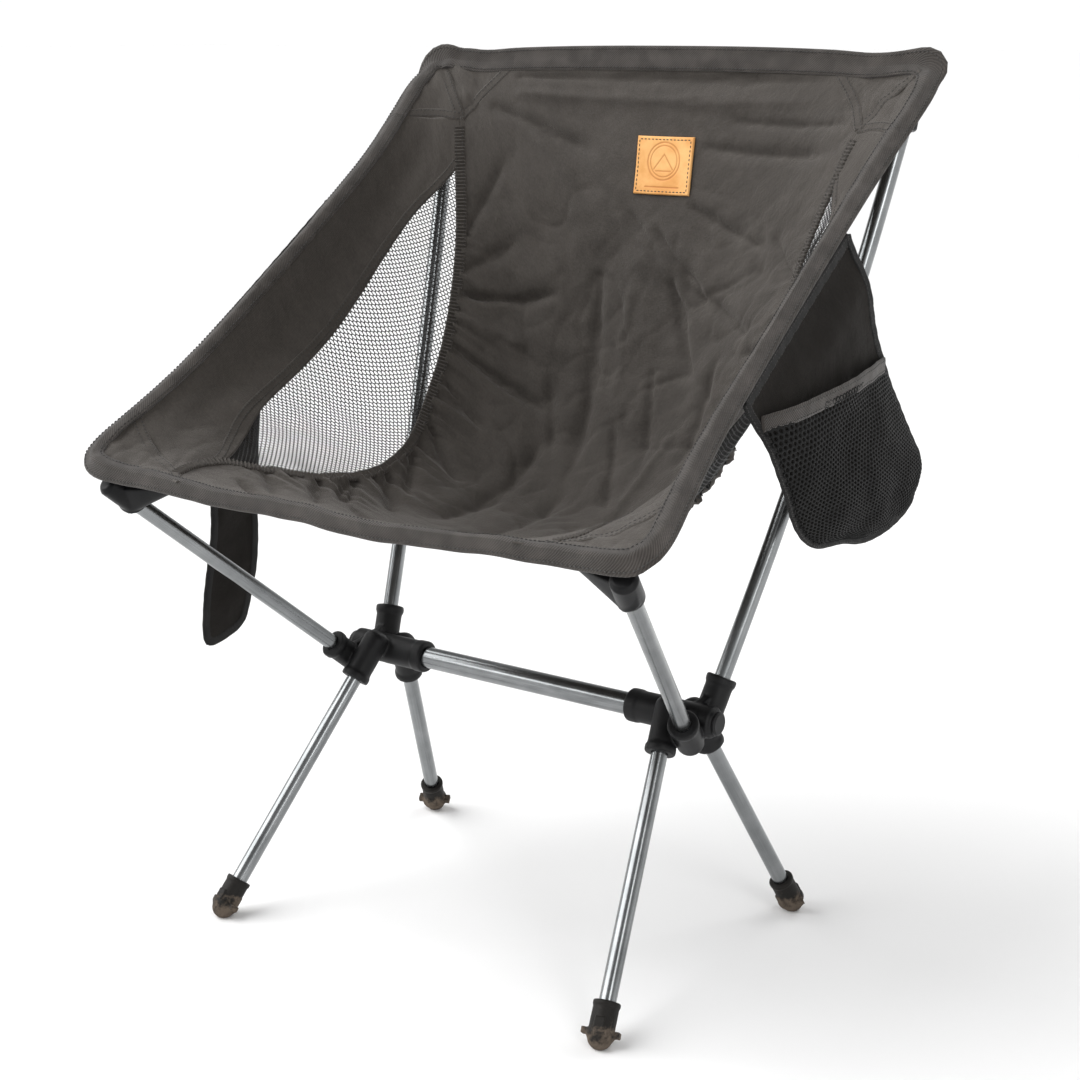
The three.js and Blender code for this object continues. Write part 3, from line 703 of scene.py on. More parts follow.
def seat(across, up):
    """The smooth seat: across from -1 at the left edge to 1 at the right, up from the front to the top."""
    across, up = np.broadcast_arrays(np.asarray(across, float), np.asarray(up, float))
    middle = read_at(MIDDLE_RUN / DEEP, MIDDLE, np.clip(up, 0, 1))
    rim = edge(up)
    sink = 1 - np.minimum(1, np.abs(across)) ** SIDE_WALL
    smooth = np.stack((rim[..., 0] * across, mix(rim[..., 1], middle[..., 1], sink),
                       mix(rim[..., 2], middle[..., 2], sink)), -1)
    near = smoothstep(0.7, 1.0, np.abs(across)) ** 2
    ways = np.stack((np.sign(across), near * 0 + 1, near * 0 + 1), -1)
    front, back = near * smoothstep(0.34, 0.0, up) ** 2, near * smoothstep(0.66, 1.0, up) ** 2
    return smooth + ways * (front[..., None] * CORNER_REACH["front"] + back[..., None] * CORNER_REACH["back"])


def seat_normal(across, up):
    """Which way the sitter's side of the cloth faces."""
    step = 2e-3
    by_across = seat(across + step, up) - seat(across - step, up)
    low, high = np.clip(up - step, 0, 1), np.clip(up + step, 0, 1)
    return unit(np.cross(by_across, seat(across, high) - seat(across, low)))


def seam_at(up):
    return np.interp(up, GATHERED[:, 1], GATHERED[:, 0])


def crumple(x, y, size, seed):
    """Soft uneven noise over the cloth, about -1 to 1; size is the width of one crumple in mm."""
    flat = zip((x / size).ravel().tolist(), (y / size).ravel().tolist())
    return np.array([noise.noise((a, b, seed)) for a, b in flat]).reshape(x.shape)


# Folds pressed into the cloth, each from one point of it to another: across, up, across, up,
# then how wide and how deep it is in mm. A negative depth is a ridge.
FOLDS = [
    # drawn in from the gathered seams
    (-0.655, 0.65, -0.34, 0.71, 6, 6.5), (-0.645, 0.62, -0.42, 0.63, 9, -3.4),
    (-0.64, 0.58, -0.30, 0.56, 7, 6.0), (-0.63, 0.53, -0.46, 0.50, 6, 4.4),
    (-0.62, 0.47, -0.42, 0.41, 7, 5.0), (-0.60, 0.42, -0.46, 0.33, 6, 4.0),
    (-0.59, 0.36, -0.38, 0.26, 8, 4.6), (-0.59, 0.30, -0.44, 0.19, 6, 3.6),
    (-0.61, 0.24, -0.40, 0.13, 7, 3.6), (-0.68, 0.17, -0.46, 0.09, 7, 3.0),
    (-0.68, 0.68, -0.52, 0.76, 7, 3.4), (-0.70, 0.73, -0.62, 0.87, 7, 3.6),
    (0.64, 0.56, 0.40, 0.53, 8, 5.0), (0.62, 0.49, 0.42, 0.43, 7, 5.0),
    (0.60, 0.42, 0.44, 0.35, 7, 4.2), (0.59, 0.35, 0.42, 0.25, 7, 4.2),
    (0.66, 0.63, 0.48, 0.64, 8, 4.0), (0.68, 0.70, 0.52, 0.79, 8, 3.6),
    (0.61, 0.27, 0.44, 0.17, 7, 3.6),
    # along the top, where the back is stretched between its poles
    (-0.62, 0.978, 0.68, 0.978, 6, 3.0), (-0.60, 0.955, 0.66, 0.952, 8, -2.2),
    (-0.70, 0.93, -0.25, 0.885, 8, 3.6), (0.20, 0.90, 0.74, 0.875, 8, 3.2),
    (0.30, 0.93, 0.78, 0.915, 6, 2.4), (-0.52, 0.90, -0.30, 0.84, 7, -2.0),
    # slack in the middle of the back and down into the pan
    (-0.20, 0.74, -0.12, 0.46, 11, 5.0), (-0.06, 0.72, -0.05, 0.58, 9, -2.6),
    (0.02, 0.80, 0.30, 0.70, 6, 4.2), (0.16, 0.83, 0.50, 0.77, 6, 3.6),
    (-0.10, 0.82, 0.06, 0.76, 6, 3.0), (0.10, 0.74, 0.26, 0.62, 7, 4.2),
    (0.28, 0.72, 0.50, 0.66, 7, 3.4), (0.36, 0.64, 0.30, 0.50, 9, 3.8),
    (0.08, 0.63, 0.16, 0.50, 7, 3.2), (-0.02, 0.56, 0.10, 0.44, 8, 3.4),
    (-0.32, 0.60, -0.22, 0.50, 7, 3.0), (0.22, 0.55, 0.14, 0.42, 8, -2.4),
    (-0.28, 0.52, -0.34, 0.30, 13, 4.4), (-0.10, 0.46, -0.16, 0.24, 14, 3.4),
    (0.20, 0.44, 0.16, 0.22, 13, 3.6), (0.02, 0.40, 0.30, 0.33, 12, 2.6),
    (-0.42, 0.20, -0.16, 0.16, 9, 2.4),
    # along the front hem
    (-0.30, 0.10, 0.16, 0.075, 12, 2.6), (-0.60, 0.09, -0.36, 0.045, 8, 3.0),
    (0.56, 0.10, 0.34, 0.04, 8, 3.6), (0.44, 0.12, 0.20, 0.055, 8, 2.6),
    (0.10, 0.05, 0.40, 0.025, 6, 2.4),
]


def creases(x, y, size, seed, sharp):
    """Thin valleys that wander over the cloth between flatter facets, from 0 to 1."""
    return np.exp(-np.abs(crumple(x, y, size, seed)) / sharp)


def relief(across, up):
    """How far the cloth stands off the smooth seat, in mm: slack, folds and gathers."""
    x, y = across * SEAT_HALF, up * DEEP
    side = np.abs(across)
    panel = smoothstep(0.0, 0.05, seam_at(up) - side + 0.02)
    hung = smoothstep(0, 0.06, up) * smoothstep(1.0, 0.95, up)
    crumpled = smoothstep(0.70, 0.4, side) * smoothstep(0.3, 0.45, up) * smoothstep(0.9, 0.74, up)
    stood = panel * hung * 4.2 * crumple(x, y * 0.7, 95, 3.1)
    stood += panel * (0.35 + crumpled) * hung * 3.0 * crumple(x * 1.2, y, 42, 7.7)
    stood += panel * (0.30 + crumpled) * hung * 1.1 * crumple(x, y * 1.1, 19, 12.3)
    stood -= panel * hung * (0.3 + crumpled) * 1.9 * creases(x + 0.35 * y, y, 62, 21.7, 0.07)
    stood -= panel * hung * (0.2 + 0.8 * crumpled) * 1.2 * creases(x, y - 0.5 * x, 34, 41.3, 0.09)
    wander = 4.5 * crumple(x, y, 26, 5.5)
    for a0, u0, a1, u1, width, depth in FOLDS:
        start, end = xyz(a0 * SEAT_HALF, u0 * DEEP), xyz(a1 * SEAT_HALF, u1 * DEEP)
        run = end - start
        length = np.linalg.norm(run)
        t = np.clip(((x - start[0]) * run[0] + (y - start[1]) * run[1]) / length ** 2, 0, 1)
        off = np.hypot(x - start[0] - run[0] * t, y - start[1] - run[1] * t) + wander * np.sin(math.pi * t)
        fades = np.minimum(1, 1.6 * np.sin(math.pi * np.clip(0.12 + 0.88 * t, 0, 1)))
        spread = np.abs(off) / (0.62 * width * (1 + 0.5 * t))
        stood -= 1.5 * depth * fades * (0.55 * np.exp(-spread ** 2) + 0.45 * np.exp(-spread * 2.2)) * panel
    # small gathers where the elastic seam draws the cloth in
    inward = np.maximum(0, seam_at(up) - side) * SEAT_HALF
    drawn = smoothstep(0.1, 0.2, up) * smoothstep(0.86, 0.6, up)
    pitch = 1 + 0.25 * crumple(x * 0, y, 40, 9.1)
    gathers = np.sin(y / 7.5 * math.tau * pitch + inward * 0.08) * np.exp(-inward / 9)
    gathers += 1.5 * np.sin(y / 19.0 * math.tau * pitch + inward * 0.05) * np.exp(-inward / 22)
    stood += np.where(side < seam_at(up) + 1e-6, 1.7 * gathers * drawn, 0)
    # the band along each side sinks in a long soft valley
    length_fade = smoothstep(0.12, 0.3, up) * smoothstep(0.88, 0.72, up)
    middle = (1 + band_inner(up)) / 2 + 0.008 * crumple(x * 0, y, 80, 2.9)
    valley = np.exp(-((side - middle) / 0.035) ** 2)
    stood -= valley * (1.2 + 6.0 * length_fade) * smoothstep(0.08, 0.16, up) * smoothstep(0.9, 0.82, up)
    outer = smoothstep(0.7, 0.8, side)
    stood += outer * 1.5 * crumple(x * 1.4, y * 0.5, 26, 15.5) * smoothstep(1.0, 0.97, side)
    stood -= outer * 0.9 * creases(x * 2.0, y * 0.45, 40, 33.1, 0.08) * smoothstep(1.0, 0.97, side)
    # puckers on the corner patches
    corner = smoothstep(0.72, 0.8, side) * (smoothstep(0.13, 0.07, up) + smoothstep(0.87, 0.92, up))
    stood += corner * 2.2 * crumple(x + y, (y - x) * 0.5, 15, 19.9) * smoothstep(1.0, 0.97, side)
    # the pan's front edge and the outer edges are held by the tape
    held = smoothstep(1.0, 0.975, side) * smoothstep(0.0, 0.012, up) * smoothstep(1.0, 0.99, up)
    slack = 3.4 * crumple(x, y * 0 + 3, 75, 51.3) + 1.3 * crumple(x, y * 0 + 9, 27, 57.7)
    return stood * (0.15 + 0.85 * held) + slack * smoothstep(0.10, 0.0, up) * smoothstep(0.9, 0.6, side)


def cloth(across, up, off=0.0):
    """A point of the cloth as it really lies, standing off it by off mm."""
    across, up = np.broadcast_arrays(np.asarray(across, float), np.asarray(up, float))
    rise = relief(across, up) + off
    return seat(across, up) + seat_normal(across, up) * rise[..., None]


def flat_cut(across, up):
    """The same points on the flat cloth, in mm."""
    across, up = np.broadcast_arrays(across, up)
    return np.stack((across * SEAT_HALF, up * DEEP * (1 - 0.27 * np.abs(across) ** 2)), -1)


def area_of(made):
    return sum(p.area for p in made.data.polygons)


def cloth_piece(name, points, material, uv, thickness=1.0):
    made = lofted(name, points, material, uv)
    made["area"] = area_of(made)
    thick = made.modifiers.new("thickness", "SOLIDIFY")
    thick.thickness = thickness * MM
    thick.offset = 0
    return made


def declare(made):
    """Works out the cloth's cut size in metres and its own area from what the piece holds, and keeps none of
    it.
    """
    corners = made["cut_size"]
    corners[0] * MM
    corners[1] * MM
    min(made["area"], corners[0] * corners[1] * MM * MM)


def cut_size(made, points):
    """The size of the straightened cut: its middling width by its longest column."""
    rows = np.linalg.norm(np.diff(points, axis=1), axis=2).sum(1).mean()
    cols = np.linalg.norm(np.diff(points, axis=0), axis=2).sum(0).max()
    made["cut_size"] = [float(rows), float(cols)]


# ---- seams, stitches and tape -----------------------------------------------------------------
def stitch_row(points, normals, pitch=3.4, share=0.72, radius=0.42):
    """A row of lockstitches lying on the cloth, each a short plump thread."""
    run = lengths(points)
    count = max(1, int(run[-1] / pitch))
    starts = (np.arange(count) + 0.14) / count
    made = []
    for begin in starts:
        t = begin + np.array((0, 0.22, 0.78, 1)) * share / count
        line = read_at(run / run[-1], points, t)
        lift = unit(read_at(run / run[-1], normals, begin))
        along = unit(line[3] - line[0])
        wide = np.cross(along, lift) * radius
        tall = lift * radius
        ring = np.array([tall, wide, -tall, -wide])
        ends = [line[0] - tall * 0.5], [line[3] - tall * 0.5]
        made.append(np.concatenate((ends[0], line[1] + ring, line[2] + ring, ends[1])))
    faces = []
    for k in range(4):
        n = (k + 1) % 4
        faces += [(0, 1 + n, 1 + k), (1 + k, 1 + n, 5 + n, 5 + k), (9, 5 + k, 5 + n)]
    return made, faces


def stitching(name, rows, body_ride):
    """All the stitch rows of one part of the cloth, as one piece of thread."""
    points, faces = [], []
    for line, normals in rows:
        made, shape = stitch_row(line, normals)
        for body in made:
            faces += [tuple(index + len(points) * 10 for index in face) for face in shape]
            points.append(body)
    return body_ride(sewn(name, np.concatenate(points), faces, THREAD))


def on_cloth(path, off=0.0):
    """A line of the cloth given as pairs of across and up, with the cloth's normals."""
    path = np.asarray(path, float)
    return cloth(path[:, 0], path[:, 1], off), seat_normal(path[:, 0], path[:, 1])


def strip(rows, run, around):
    """A strip whose section is the same all along: the points, faces, face-corner uvs and end faces.
    rows holds a line of points for each corner of the section; run is how far along it each lies,
    and around how far round the section each corner lies, closing on its first."""
    points = np.array(rows).transpose(1, 0, 2)
    count, sides = points.shape[:2]
    faces, corner_rows, corner_cols = lattice(count, sides, False, True)
    uv = np.stack((np.asarray(around)[corner_cols], run[corner_rows]), -1)
    ends = list(range(sides))[::-1], [(count - 1) * sides + k for k in range(sides)]
    return points, faces, uv, ends


def seam_strip(path, width=9.0, height=0.9, pucker=0.0, pitch=5.0):
    """A felled seam: a low doubled strip along a line of the cloth. Gives the strip and its two rows
    of stitches."""
    coarse, _ = on_cloth(path)
    count = max(8, int(lengths(coarse)[-1] / (0.6 if pucker else 3.0)))
    path = even(np.asarray(path, float), count)
    line, lift = on_cloth(path)
    run = lengths(line)
    wide = unit(np.cross(unit(np.gradient(line, axis=0)), lift))
    ripple = pucker * np.sin(run / pitch * math.tau) + 0.12 * np.sin(run / 3.1 * math.tau)
    section = [(-0.5, -0.35), (-0.47, 0.55), (-0.36, 0.95), (-0.12, 0.86), (0.12, 0.86), (0.36, 0.95),
               (0.47, 0.55), (0.5, -0.35)]
    rows = []
    for off, high in section:
        swell = ripple if high > 0 else ripple * 0
        rows.append(line + wide * (off * width) + lift * (high * height + swell)[:, None])
    stitches = [(line + wide * (way * width * 0.3) + lift * (0.98 * height + ripple)[:, None], lift)
                for way in (-1, 1)]
    return strip(rows, run, [off * width for off, _ in section] + [width]), stitches


def seam_piece(name, strips, material, angle=55):
    """Several seam strips as one piece, with their ends closed."""
    points, faces, uvs, first = [], [], [], 0
    for part_points, part_faces, part_uv, ends in strips:
        points.append(part_points.reshape(-1, 3))
        faces.extend((part_faces + first).tolist())
        uvs.append(part_uv.reshape(-1, 2))
        for cap in ends:
            faces.append([index + first for index in cap])
            uvs.append(np.zeros((len(cap), 2)))
        first += points[-1].shape[0]
    return tidied(sewn(name, np.concatenate(points), faces, material, np.concatenate(uvs), angle))


def bezier(p0, p1, p2, p3, count=24):
    t = np.linspace(0, 1, count)[:, None]
    return (1 - t) ** 3 * p0 + 3 * t * (1 - t) ** 2 * p1 + 3 * t ** 2 * (1 - t) * p2 + t ** 3 * p3


def rounded_corner(patch, count=28):
    """The outline of the cloth round a corner, from the hem to the side edge, as across and up."""
    hem, corner, side = (np.array(patch[k]) for k in ("hem", "corner", "side"))
    return bezier(hem, mix(hem, corner, CORNER_PULL), mix(side, corner, CORNER_PULL), side, count)


def line_between(a, b, count=24):
    return mix(np.array(a, float), np.array(b, float), np.linspace(0, 1, count)[:, None])


def to_side(path, side):
    return np.asarray(path, float) * (side, 1)


def band_inner(up):
    return np.interp(up, BAND_INNER[:, 1], BAND_INNER[:, 0])


def build_panel():
    """The middle panel, from seam to seam, reaching out to the inner corners of the patches."""
    edge_line = np.concatenate((line_between(FRONT_PATCH["hem"], FRONT_PATCH["inner"], 12),
                                GATHERED[1:-1], line_between(BACK_PATCH["inner"], BACK_PATCH["hem"], 12)))
    outline = even(edge_line * (1, 2.2), 300) / (1, 2.2)
    rows = np.linspace(0, 1, len(outline))
    across_share = np.sin(np.linspace(-1, 1, 160) * math.pi / 2 * 0.82) / math.sin(math.pi / 2 * 0.82)
    bend = np.abs(across_share) ** 3
    up = rows[:, None] + (outline[:, 1] - rows)[:, None] * bend
    up = np.where(np.abs(across_share) < 1, up, outline[:, 1][:, None])
    across = outline[:, 0][:, None] * across_share
    points = cloth(across, up)
    made = cloth_piece("seat_panel_cloth", points, CHARCOAL, flat_cut(across, up))
    cut_size(made, points)
    return ride(made, "frame", "seat_panel")


def build_band(name, side):
    cut = {k: (np.array(p["inner"]), np.array(p["side"])) for k, p in (("f", FRONT_PATCH), ("b", BACK_PATCH))}

    def cut_at(which, across):
        inner, outer = cut[which]
        return mix(inner[1], outer[1], (across - inner[0]) / (1 - inner[0]))

    v = np.linspace(0, 1, 190)[:, None]
    share = np.linspace(0, 1, 30)
    low = np.full_like(v, FRONT_PATCH["inner"][1]) + (BACK_PATCH["inner"][1] - FRONT_PATCH["inner"][1]) * v
    across = mix(np.maximum(band_inner(low), seam_at(low) + 0.001), 1.0, share)
    up = mix(cut_at("f", across), cut_at("b", across), v)
    points = cloth(side * across, up)
    made = cloth_piece(f"side_band_{name}_cloth", points, CHARCOAL, flat_cut(across, up))
    cut_size(made, points)
    if side < 0:
        made.data.flip_normals()
    return ride(made, "frame", f"side_band_{name}")


def honeycomb(x_range, y_range, pitch, inside):
    """Centres of net holes over a flat area, those that pass the test inside(x, y)."""
    xs = np.arange(x_range[0], x_range[1], pitch)
    ys = np.arange(y_range[0], y_range[1], pitch * 0.866)
    x, y = np.meshgrid(xs, ys)
    x = x + (np.arange(len(ys)) % 2 * pitch / 2)[:, None]
    keep = inside(x, y)
    return np.stack((x[keep], y[keep]), -1)


def net_mesh(name, centres, pitch, hole, thread, place, material):
    """A knitted net: round each hole a rim of thread, shared with the holes beside it.
    place(x, y, off) puts a flat point into the air, standing off by off mm."""
    angles = np.radians(np.arange(6) * 60 + 30)
    spokes = np.stack((np.cos(angles), np.sin(angles)), -1)
    outer = centres[:, None] + spokes * (pitch / math.sqrt(3))
    inner = centres[:, None] + spokes * (pitch / math.sqrt(3) * hole)
    keys = np.round(outer / (pitch * 0.1)).astype(int).reshape(-1, 2)
    _, first, shared = np.unique(keys, axis=0, return_index=True, return_inverse=True)
    shared = shared.reshape(-1)
    knots = outer.reshape(-1, 2)[first]
    count, cells = len(knots), len(centres)
    flat_inner = inner.reshape(-1, 2)
    points = np.concatenate([place(*ring.T, way * thread * share)
                             for ring, share in ((knots, 0.5), (flat_inner, 0.28)) for way in (1, -1)])
    k = np.arange(6)
    n = (k + 1) % 6
    knot = shared.reshape(cells, 6)
    top_in = 2 * count + np.arange(cells * 6).reshape(cells, 6)
    low_in = top_in + cells * 6
    top = np.stack((knot[:, k], knot[:, n], top_in[:, n], top_in[:, k]), -1)
    low = np.stack((knot[:, k], low_in[:, k], low_in[:, n], knot[:, n]), -1)
    low[..., 0] += count
    low[..., 3] += count
    wall = np.stack((top_in[:, k], top_in[:, n], low_in[:, n], low_in[:, k]), -1)
    faces = np.concatenate([part.reshape(-1, 4) for part in (top, low, wall)])
    # the outermost threads are closed along their outside
    edges = np.stack((knot[:, k], knot[:, n]), -1).reshape(-1, 2)
    _, index, uses = np.unique(np.sort(edges, axis=1), axis=0, return_index=True, return_counts=True)
    rim = edges[index[uses == 1]]
    rim_faces = np.stack((rim[:, 1], rim[:, 0], rim[:, 0] + count, rim[:, 1] + count), -1)
    faces = np.concatenate((faces, rim_faces))
    return sewn(name, points, faces, material)


NET_PITCH = 2.9
NET_HOLE = 0.79              # a hole's width as a share of its cell's


def net_area(made, centres, pitch):
    """The flat size of so many cells of net in square metres, less what narrowing it takes away."""
    cells = len(centres) * pitch ** 2 * math.sqrt(3) / 2 * 0.84 * MM * MM
    return min(cells, area_of(made) / 2 / 0.76)


def build_net(name, side):
    """The net gusset between the side band and the gathered seam, tucked under both."""
    tall = 590.0                 # length of the band that the net is sewn to

    def inside(x, y):
        across, up = x / SEAT_HALF, y / tall
        between = (across > seam_at(up)) & (across < band_inner(up) + 0.012)
        return between & (up > NET_UP[0]) & (up < NET_UP[1])

    def place(x, y, off):
        across, up = x / SEAT_HALF, y / tall
        waves = 2.6 * crumple(x + 40 * side, y * 2.2, 52, 4.4) + 1.1 * crumple(x, y, 26, 8.8)
        free = np.minimum(across - seam_at(up), band_inner(up) - across) / 0.06
        return cloth(side * across, up, off + waves * np.clip(free, 0, 1) - 1.2)

    centres = honeycomb((134, 216), (60, 500), NET_PITCH, inside)
    made = net_mesh(f"side_net_{name}_mesh", centres, NET_PITCH, NET_HOLE, 0.8, place, NET)
    if side < 0:
        made.data.flip_normals()
    made["area"] = net_area(made, centres, NET_PITCH)
    return ride(made, "frame", f"side_net_{name}")


def build_patch(end, name, side, patch):
    """One corner patch: cloth from its inner point out to the rounded corner."""
    outline = rounded_corner(patch, 56)
    inner = np.array(patch["inner"])
    share = np.linspace(0.0, 1, 40)[:, None, None] ** 0.8
    flat = inner + (outline - inner) * share
    across, up = flat[..., 0], flat[..., 1]
    points = cloth(side * across, up)
    made = cloth_piece(f"corner_patch_{end}_{name}_cloth", points, CHARCOAL, flat_cut(across, up))
    cut_size(made, points)
    made["cut_size"] = [made["cut_size"][0] * 0.75, made["cut_size"][1]]
    return tidied(made)


def corner_blend(made, end, name, side, patch):
    """Bakes a corner piece's placement into its mesh. Points at the middle of the patch and at its tip are
    worked out but not used.
    """
    inner, corner = np.array(patch["inner"]), rounded_corner(patch, 9)[4]
    start, stop = ((seat(side * p[0], p[1]) + (0, BAR_Y, 0)) * MM for p in (mix(inner, corner, 0.5), corner))
    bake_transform(made)
    return made


def rim_paths():
    """The stretches of the cloth's outline on the right half, from the front middle to the top
    middle, as across and up."""
    return {"hem_front": line_between((0, 0), FRONT_PATCH["hem"], 60),
            "corner_front": rounded_corner(FRONT_PATCH),
            "hem_side": line_between(FRONT_PATCH["side"], BACK_PATCH["side"], 130),
            "corner_back": rounded_corner(BACK_PATCH)[::-1],
            "hem_top": line_between(BACK_PATCH["hem"], (0, 1), 60)}


TAPE_SECTION = [  # in from the edge, out along the tape, and to its outer face, in mm
    (8.0, 0, 1.1), (7.4, 0, 1.4), (3.5, 0, 1.45), (0.4, 0, 1.6), (-0.5, 0.5, 1.5), (0, 3, 1.3),
    (0, 7, 1.3), (0, 10.2, 1.3), (0, 11.4, 0.9), (0, 11.8, 0), (0, 11.4, -0.9), (0, 10.2, -1.3),
    (0, 5, -1.3), (0, 1.5, -1.4), (1.5, 0, -1.5), (7.4, 0, -1.2), (8.0, 0, -0.8)]


def set_in(line, outward, distance):
    """The line moved in from the edge; where it turns a tight corner its points meet on the mitre."""
    row = line - outward * distance
    if distance < 0.3:
        return row
    near = np.linalg.norm(row[:, None] - line[None], axis=2).min(1)
    kept = np.flatnonzero(near > distance * 0.93)
    return read_at(kept, row[kept], np.arange(len(row)))


def tape(name, path, aways, side, wobble_seed):
    """Twill tape folded over the edge of the cloth and hanging from it. Gives the piece and the two
    stitch rows along it."""
    path = to_side(path, side)
    if side < 0:
        path, aways = path[::-1], aways[::-1]
    line, lift = on_cloth(path)
    tangent = unit(np.gradient(line, axis=0))
    run = lengths(line)
    outward = unit(np.cross(tangent, lift))
    away = aways * (side, 1, 1)
    face = unit(np.cross(away, tangent))
    wobble = 0.6 * np.array([noise.noise((s / 15.0, wobble_seed, 0.5)) for s in run])
    rows = []
    for inward, out, high in TAPE_SECTION:
        over = lift if inward > 0.3 else face
        lifted = over * (high + wobble * np.sign(high))[:, None]
        rows.append(set_in(line, outward, inward) + away * out + lifted)
    around = lengths(np.array([(-a + b, c) for a, b, c in TAPE_SECTION] + [(-8.0, 1.5)]))
    stitches = [(set_in(line, outward, 6.0) + lift * 1.8, lift), (line + away * 9 + face * 1.7, face)]
    return seam_piece(name, [strip(rows, run, around)], TAPE), stitches


def rim_aways(key, count):
    """Which way the tape hangs at each point of a stretch of the edge, on the right half."""
    if key in ("hem_front", "hem_top"):
        return np.tile(AWAY["front" if key == "hem_front" else "back"], (count, 1))
    if key == "hem_side":
        return np.tile(AWAY["side"], (count, 1))
    turn = smoothstep(0.3, 0.7, np.linspace(0, 1, count))[:, None]
    start, stop = ("front", "side") if key == "corner_front" else ("side", "back")
    turned_away = mix(AWAY[start], AWAY[stop], turn)
    # at the mitre the folded tape reaches further than its width
    return turned_away / (turned_away ** 2).sum(1, keepdims=True) ** 0.85


LABEL_AT = (0.028, 0.877)    # the middle of the label on the cloth, across and up
LABEL_SIZE = (54, 47, 1.8)   # width, height and thickness in mm


def build_label():
    """A stitched leather label with a pressed ring, a pressed tent-like mark and a pressed line."""
    width, height, thickness = LABEL_SIZE
    across_at, up_at = LABEL_AT
    cols, rows = 110, 96
    u, v = np.meshgrid(np.linspace(-1, 1, cols), np.linspace(-1, 1, rows))
    across = across_at + u * width / 2 / EDGE_BACK[0]
    up = up_at + v * height / 2 / DEEP
    x, y = u * width / 2, v * height / 2
    ring = np.hypot(x, y - 3.5)
    pressed = np.exp(-((ring - 15.2) / 0.6) ** 2) + np.exp(-((ring - 12.6) / 0.45) ** 2)
    ridge = np.abs(y - 9.0 + np.abs(x) * 1.35) / 1.7
    pressed += np.exp(-(ridge / 0.5) ** 2) * (ring < 11.5) * (y > -4.5)
    pressed += np.exp(-((y + 4.5) / 0.5) ** 2) * (ring < 11)
    pressed += np.exp(-((y + 17.5) / 0.55) ** 2) * smoothstep(17, 16, np.abs(x))
    pressed = np.clip(pressed, 0, 1)
    rim = np.minimum(width / 2 - np.abs(x), height / 2 - np.abs(y))
    crown = thickness * smoothstep(-0.6, 0.9, rim) - 0.35 * pressed
    under = relief_under_label(across, up)
    points = np.concatenate([(seat(across, up) + seat_normal(across, up) * rise[..., None]).reshape(-1, 3)
                             for rise in (under + 0.9 + crown, under + 0.75)])
    faces = lattice(rows, cols)[0]
    total = rows * cols
    border = np.concatenate((np.arange(cols), np.arange(1, rows) * cols + cols - 1,
                             (rows - 1) * cols + np.arange(cols - 2, -1, -1),
                             np.arange(rows - 2, 0, -1) * cols))
    sides = [[int(a), int(b), int(b + total), int(a + total)] for a, b in zip(np.roll(border, -1), border)]
    all_faces = faces.tolist() + (faces[:, ::-1] + total).tolist() + sides
    made = sewn("label_leather_piece", points, all_faces, LEATHER)
    attribute = made.data.attributes.new("pressed", "FLOAT", "POINT")
    depths = np.concatenate((pressed.ravel(), pressed.ravel() * 0))
    attribute.data.foreach_set("value", depths.astype(np.float32))
    ride(tidied(made), "frame", "label")
    inset = 2.6
    corners = [(-1, -1), (1, -1), (1, 1), (-1, 1), (-1, -1)]
    rows_of_thread = []
    for (a0, b0), (a1, b1) in zip(corners[:-1], corners[1:]):
        xs = np.linspace(a0, a1, 14) * (width / 2 - inset)
        ys = np.linspace(b0, b1, 14) * (height / 2 - inset)
        a, w = across_at + xs / EDGE_BACK[0], up_at + ys / DEEP
        normals = seat_normal(a, w)
        line = seat(a, w) + normals * (relief_under_label(a, w) + 0.95 + thickness)[:, None]
        rows_of_thread.append((line, normals))
    return rows_of_thread


def relief_under_label(across, up):
    """The label is stiff, so it bridges the small crumples of the cloth under it."""
    spread = [relief(across + a, up + b) for a, b in ((0, 0), (0.03, 0), (-0.03, 0), (0, 0.012), (0, -0.012))]
    return np.mean(spread, axis=0) + 0.5


def build_seams(name, side):
    """The felled seams of one side: strips of cloth, and rows of stitches on them."""
    inner_edge = np.linspace(*NET_UP, 150)
    band_line = np.stack((band_inner(inner_edge) + 0.012, inner_edge), -1)
    seams = [(band_line, {"width": 7.5}),
             (GATHERED[4:-4] + (0.004, 0), {"width": 9.0, "height": 1.3, "pucker": 0.8, "pitch": 3.1})]
    # seams between the patches and the cloth round them
    for patch, bulge in ((FRONT_PATCH, 0.01), (BACK_PATCH, -0.01)):
        for outer, bend in (("side", (0, -bulge)), ("hem", (0.02, 0))):
            middle = mix(np.array(patch["inner"]), np.array(patch[outer]), 0.5) + bend
            seams.append((smooth_line([patch["inner"], middle, patch[outer]], 14), {"width": 9.0}))
    made = [seam_strip(to_side(path, side), **shape) for path, shape in seams]
    return [part for part, _ in made], [row for _, rows in made for row in rows]


def build_corner(end, name, side, patch, path):
    """One corner of the seat: its patch, the tape round it, and at the back a seam out to its tip."""
    placing = end, name, side, patch
    aways = rim_aways(f"corner_{end}", len(path))
    taped, rows = tape(f"corner_hem_{end}_{name}_tape", path, aways, side, 2.2)
    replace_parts(corner_blend(taped, *placing), f"corner_hem_{end}_{name}")
    patched = corner_blend(build_patch(*placing), *placing)
    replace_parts(patched, f"corner_patch_{end}_{name}")
    if end == "back":
        centre = line_between(patch["inner"], rounded_corner(patch, 9)[4] * (0.995, 1), 16)
        part, seam_rows = seam_strip(to_side(centre, side), width=9.0)
        corner_blend(seam_piece(f"corner_seam_{end}_{name}", [part], CHARCOAL), *placing)
        rows = rows + seam_rows
    thread = stitching(f"corner_stitches_{end}_{name}", rows, lambda piece: corner_blend(piece, *placing))
    declare(patched)


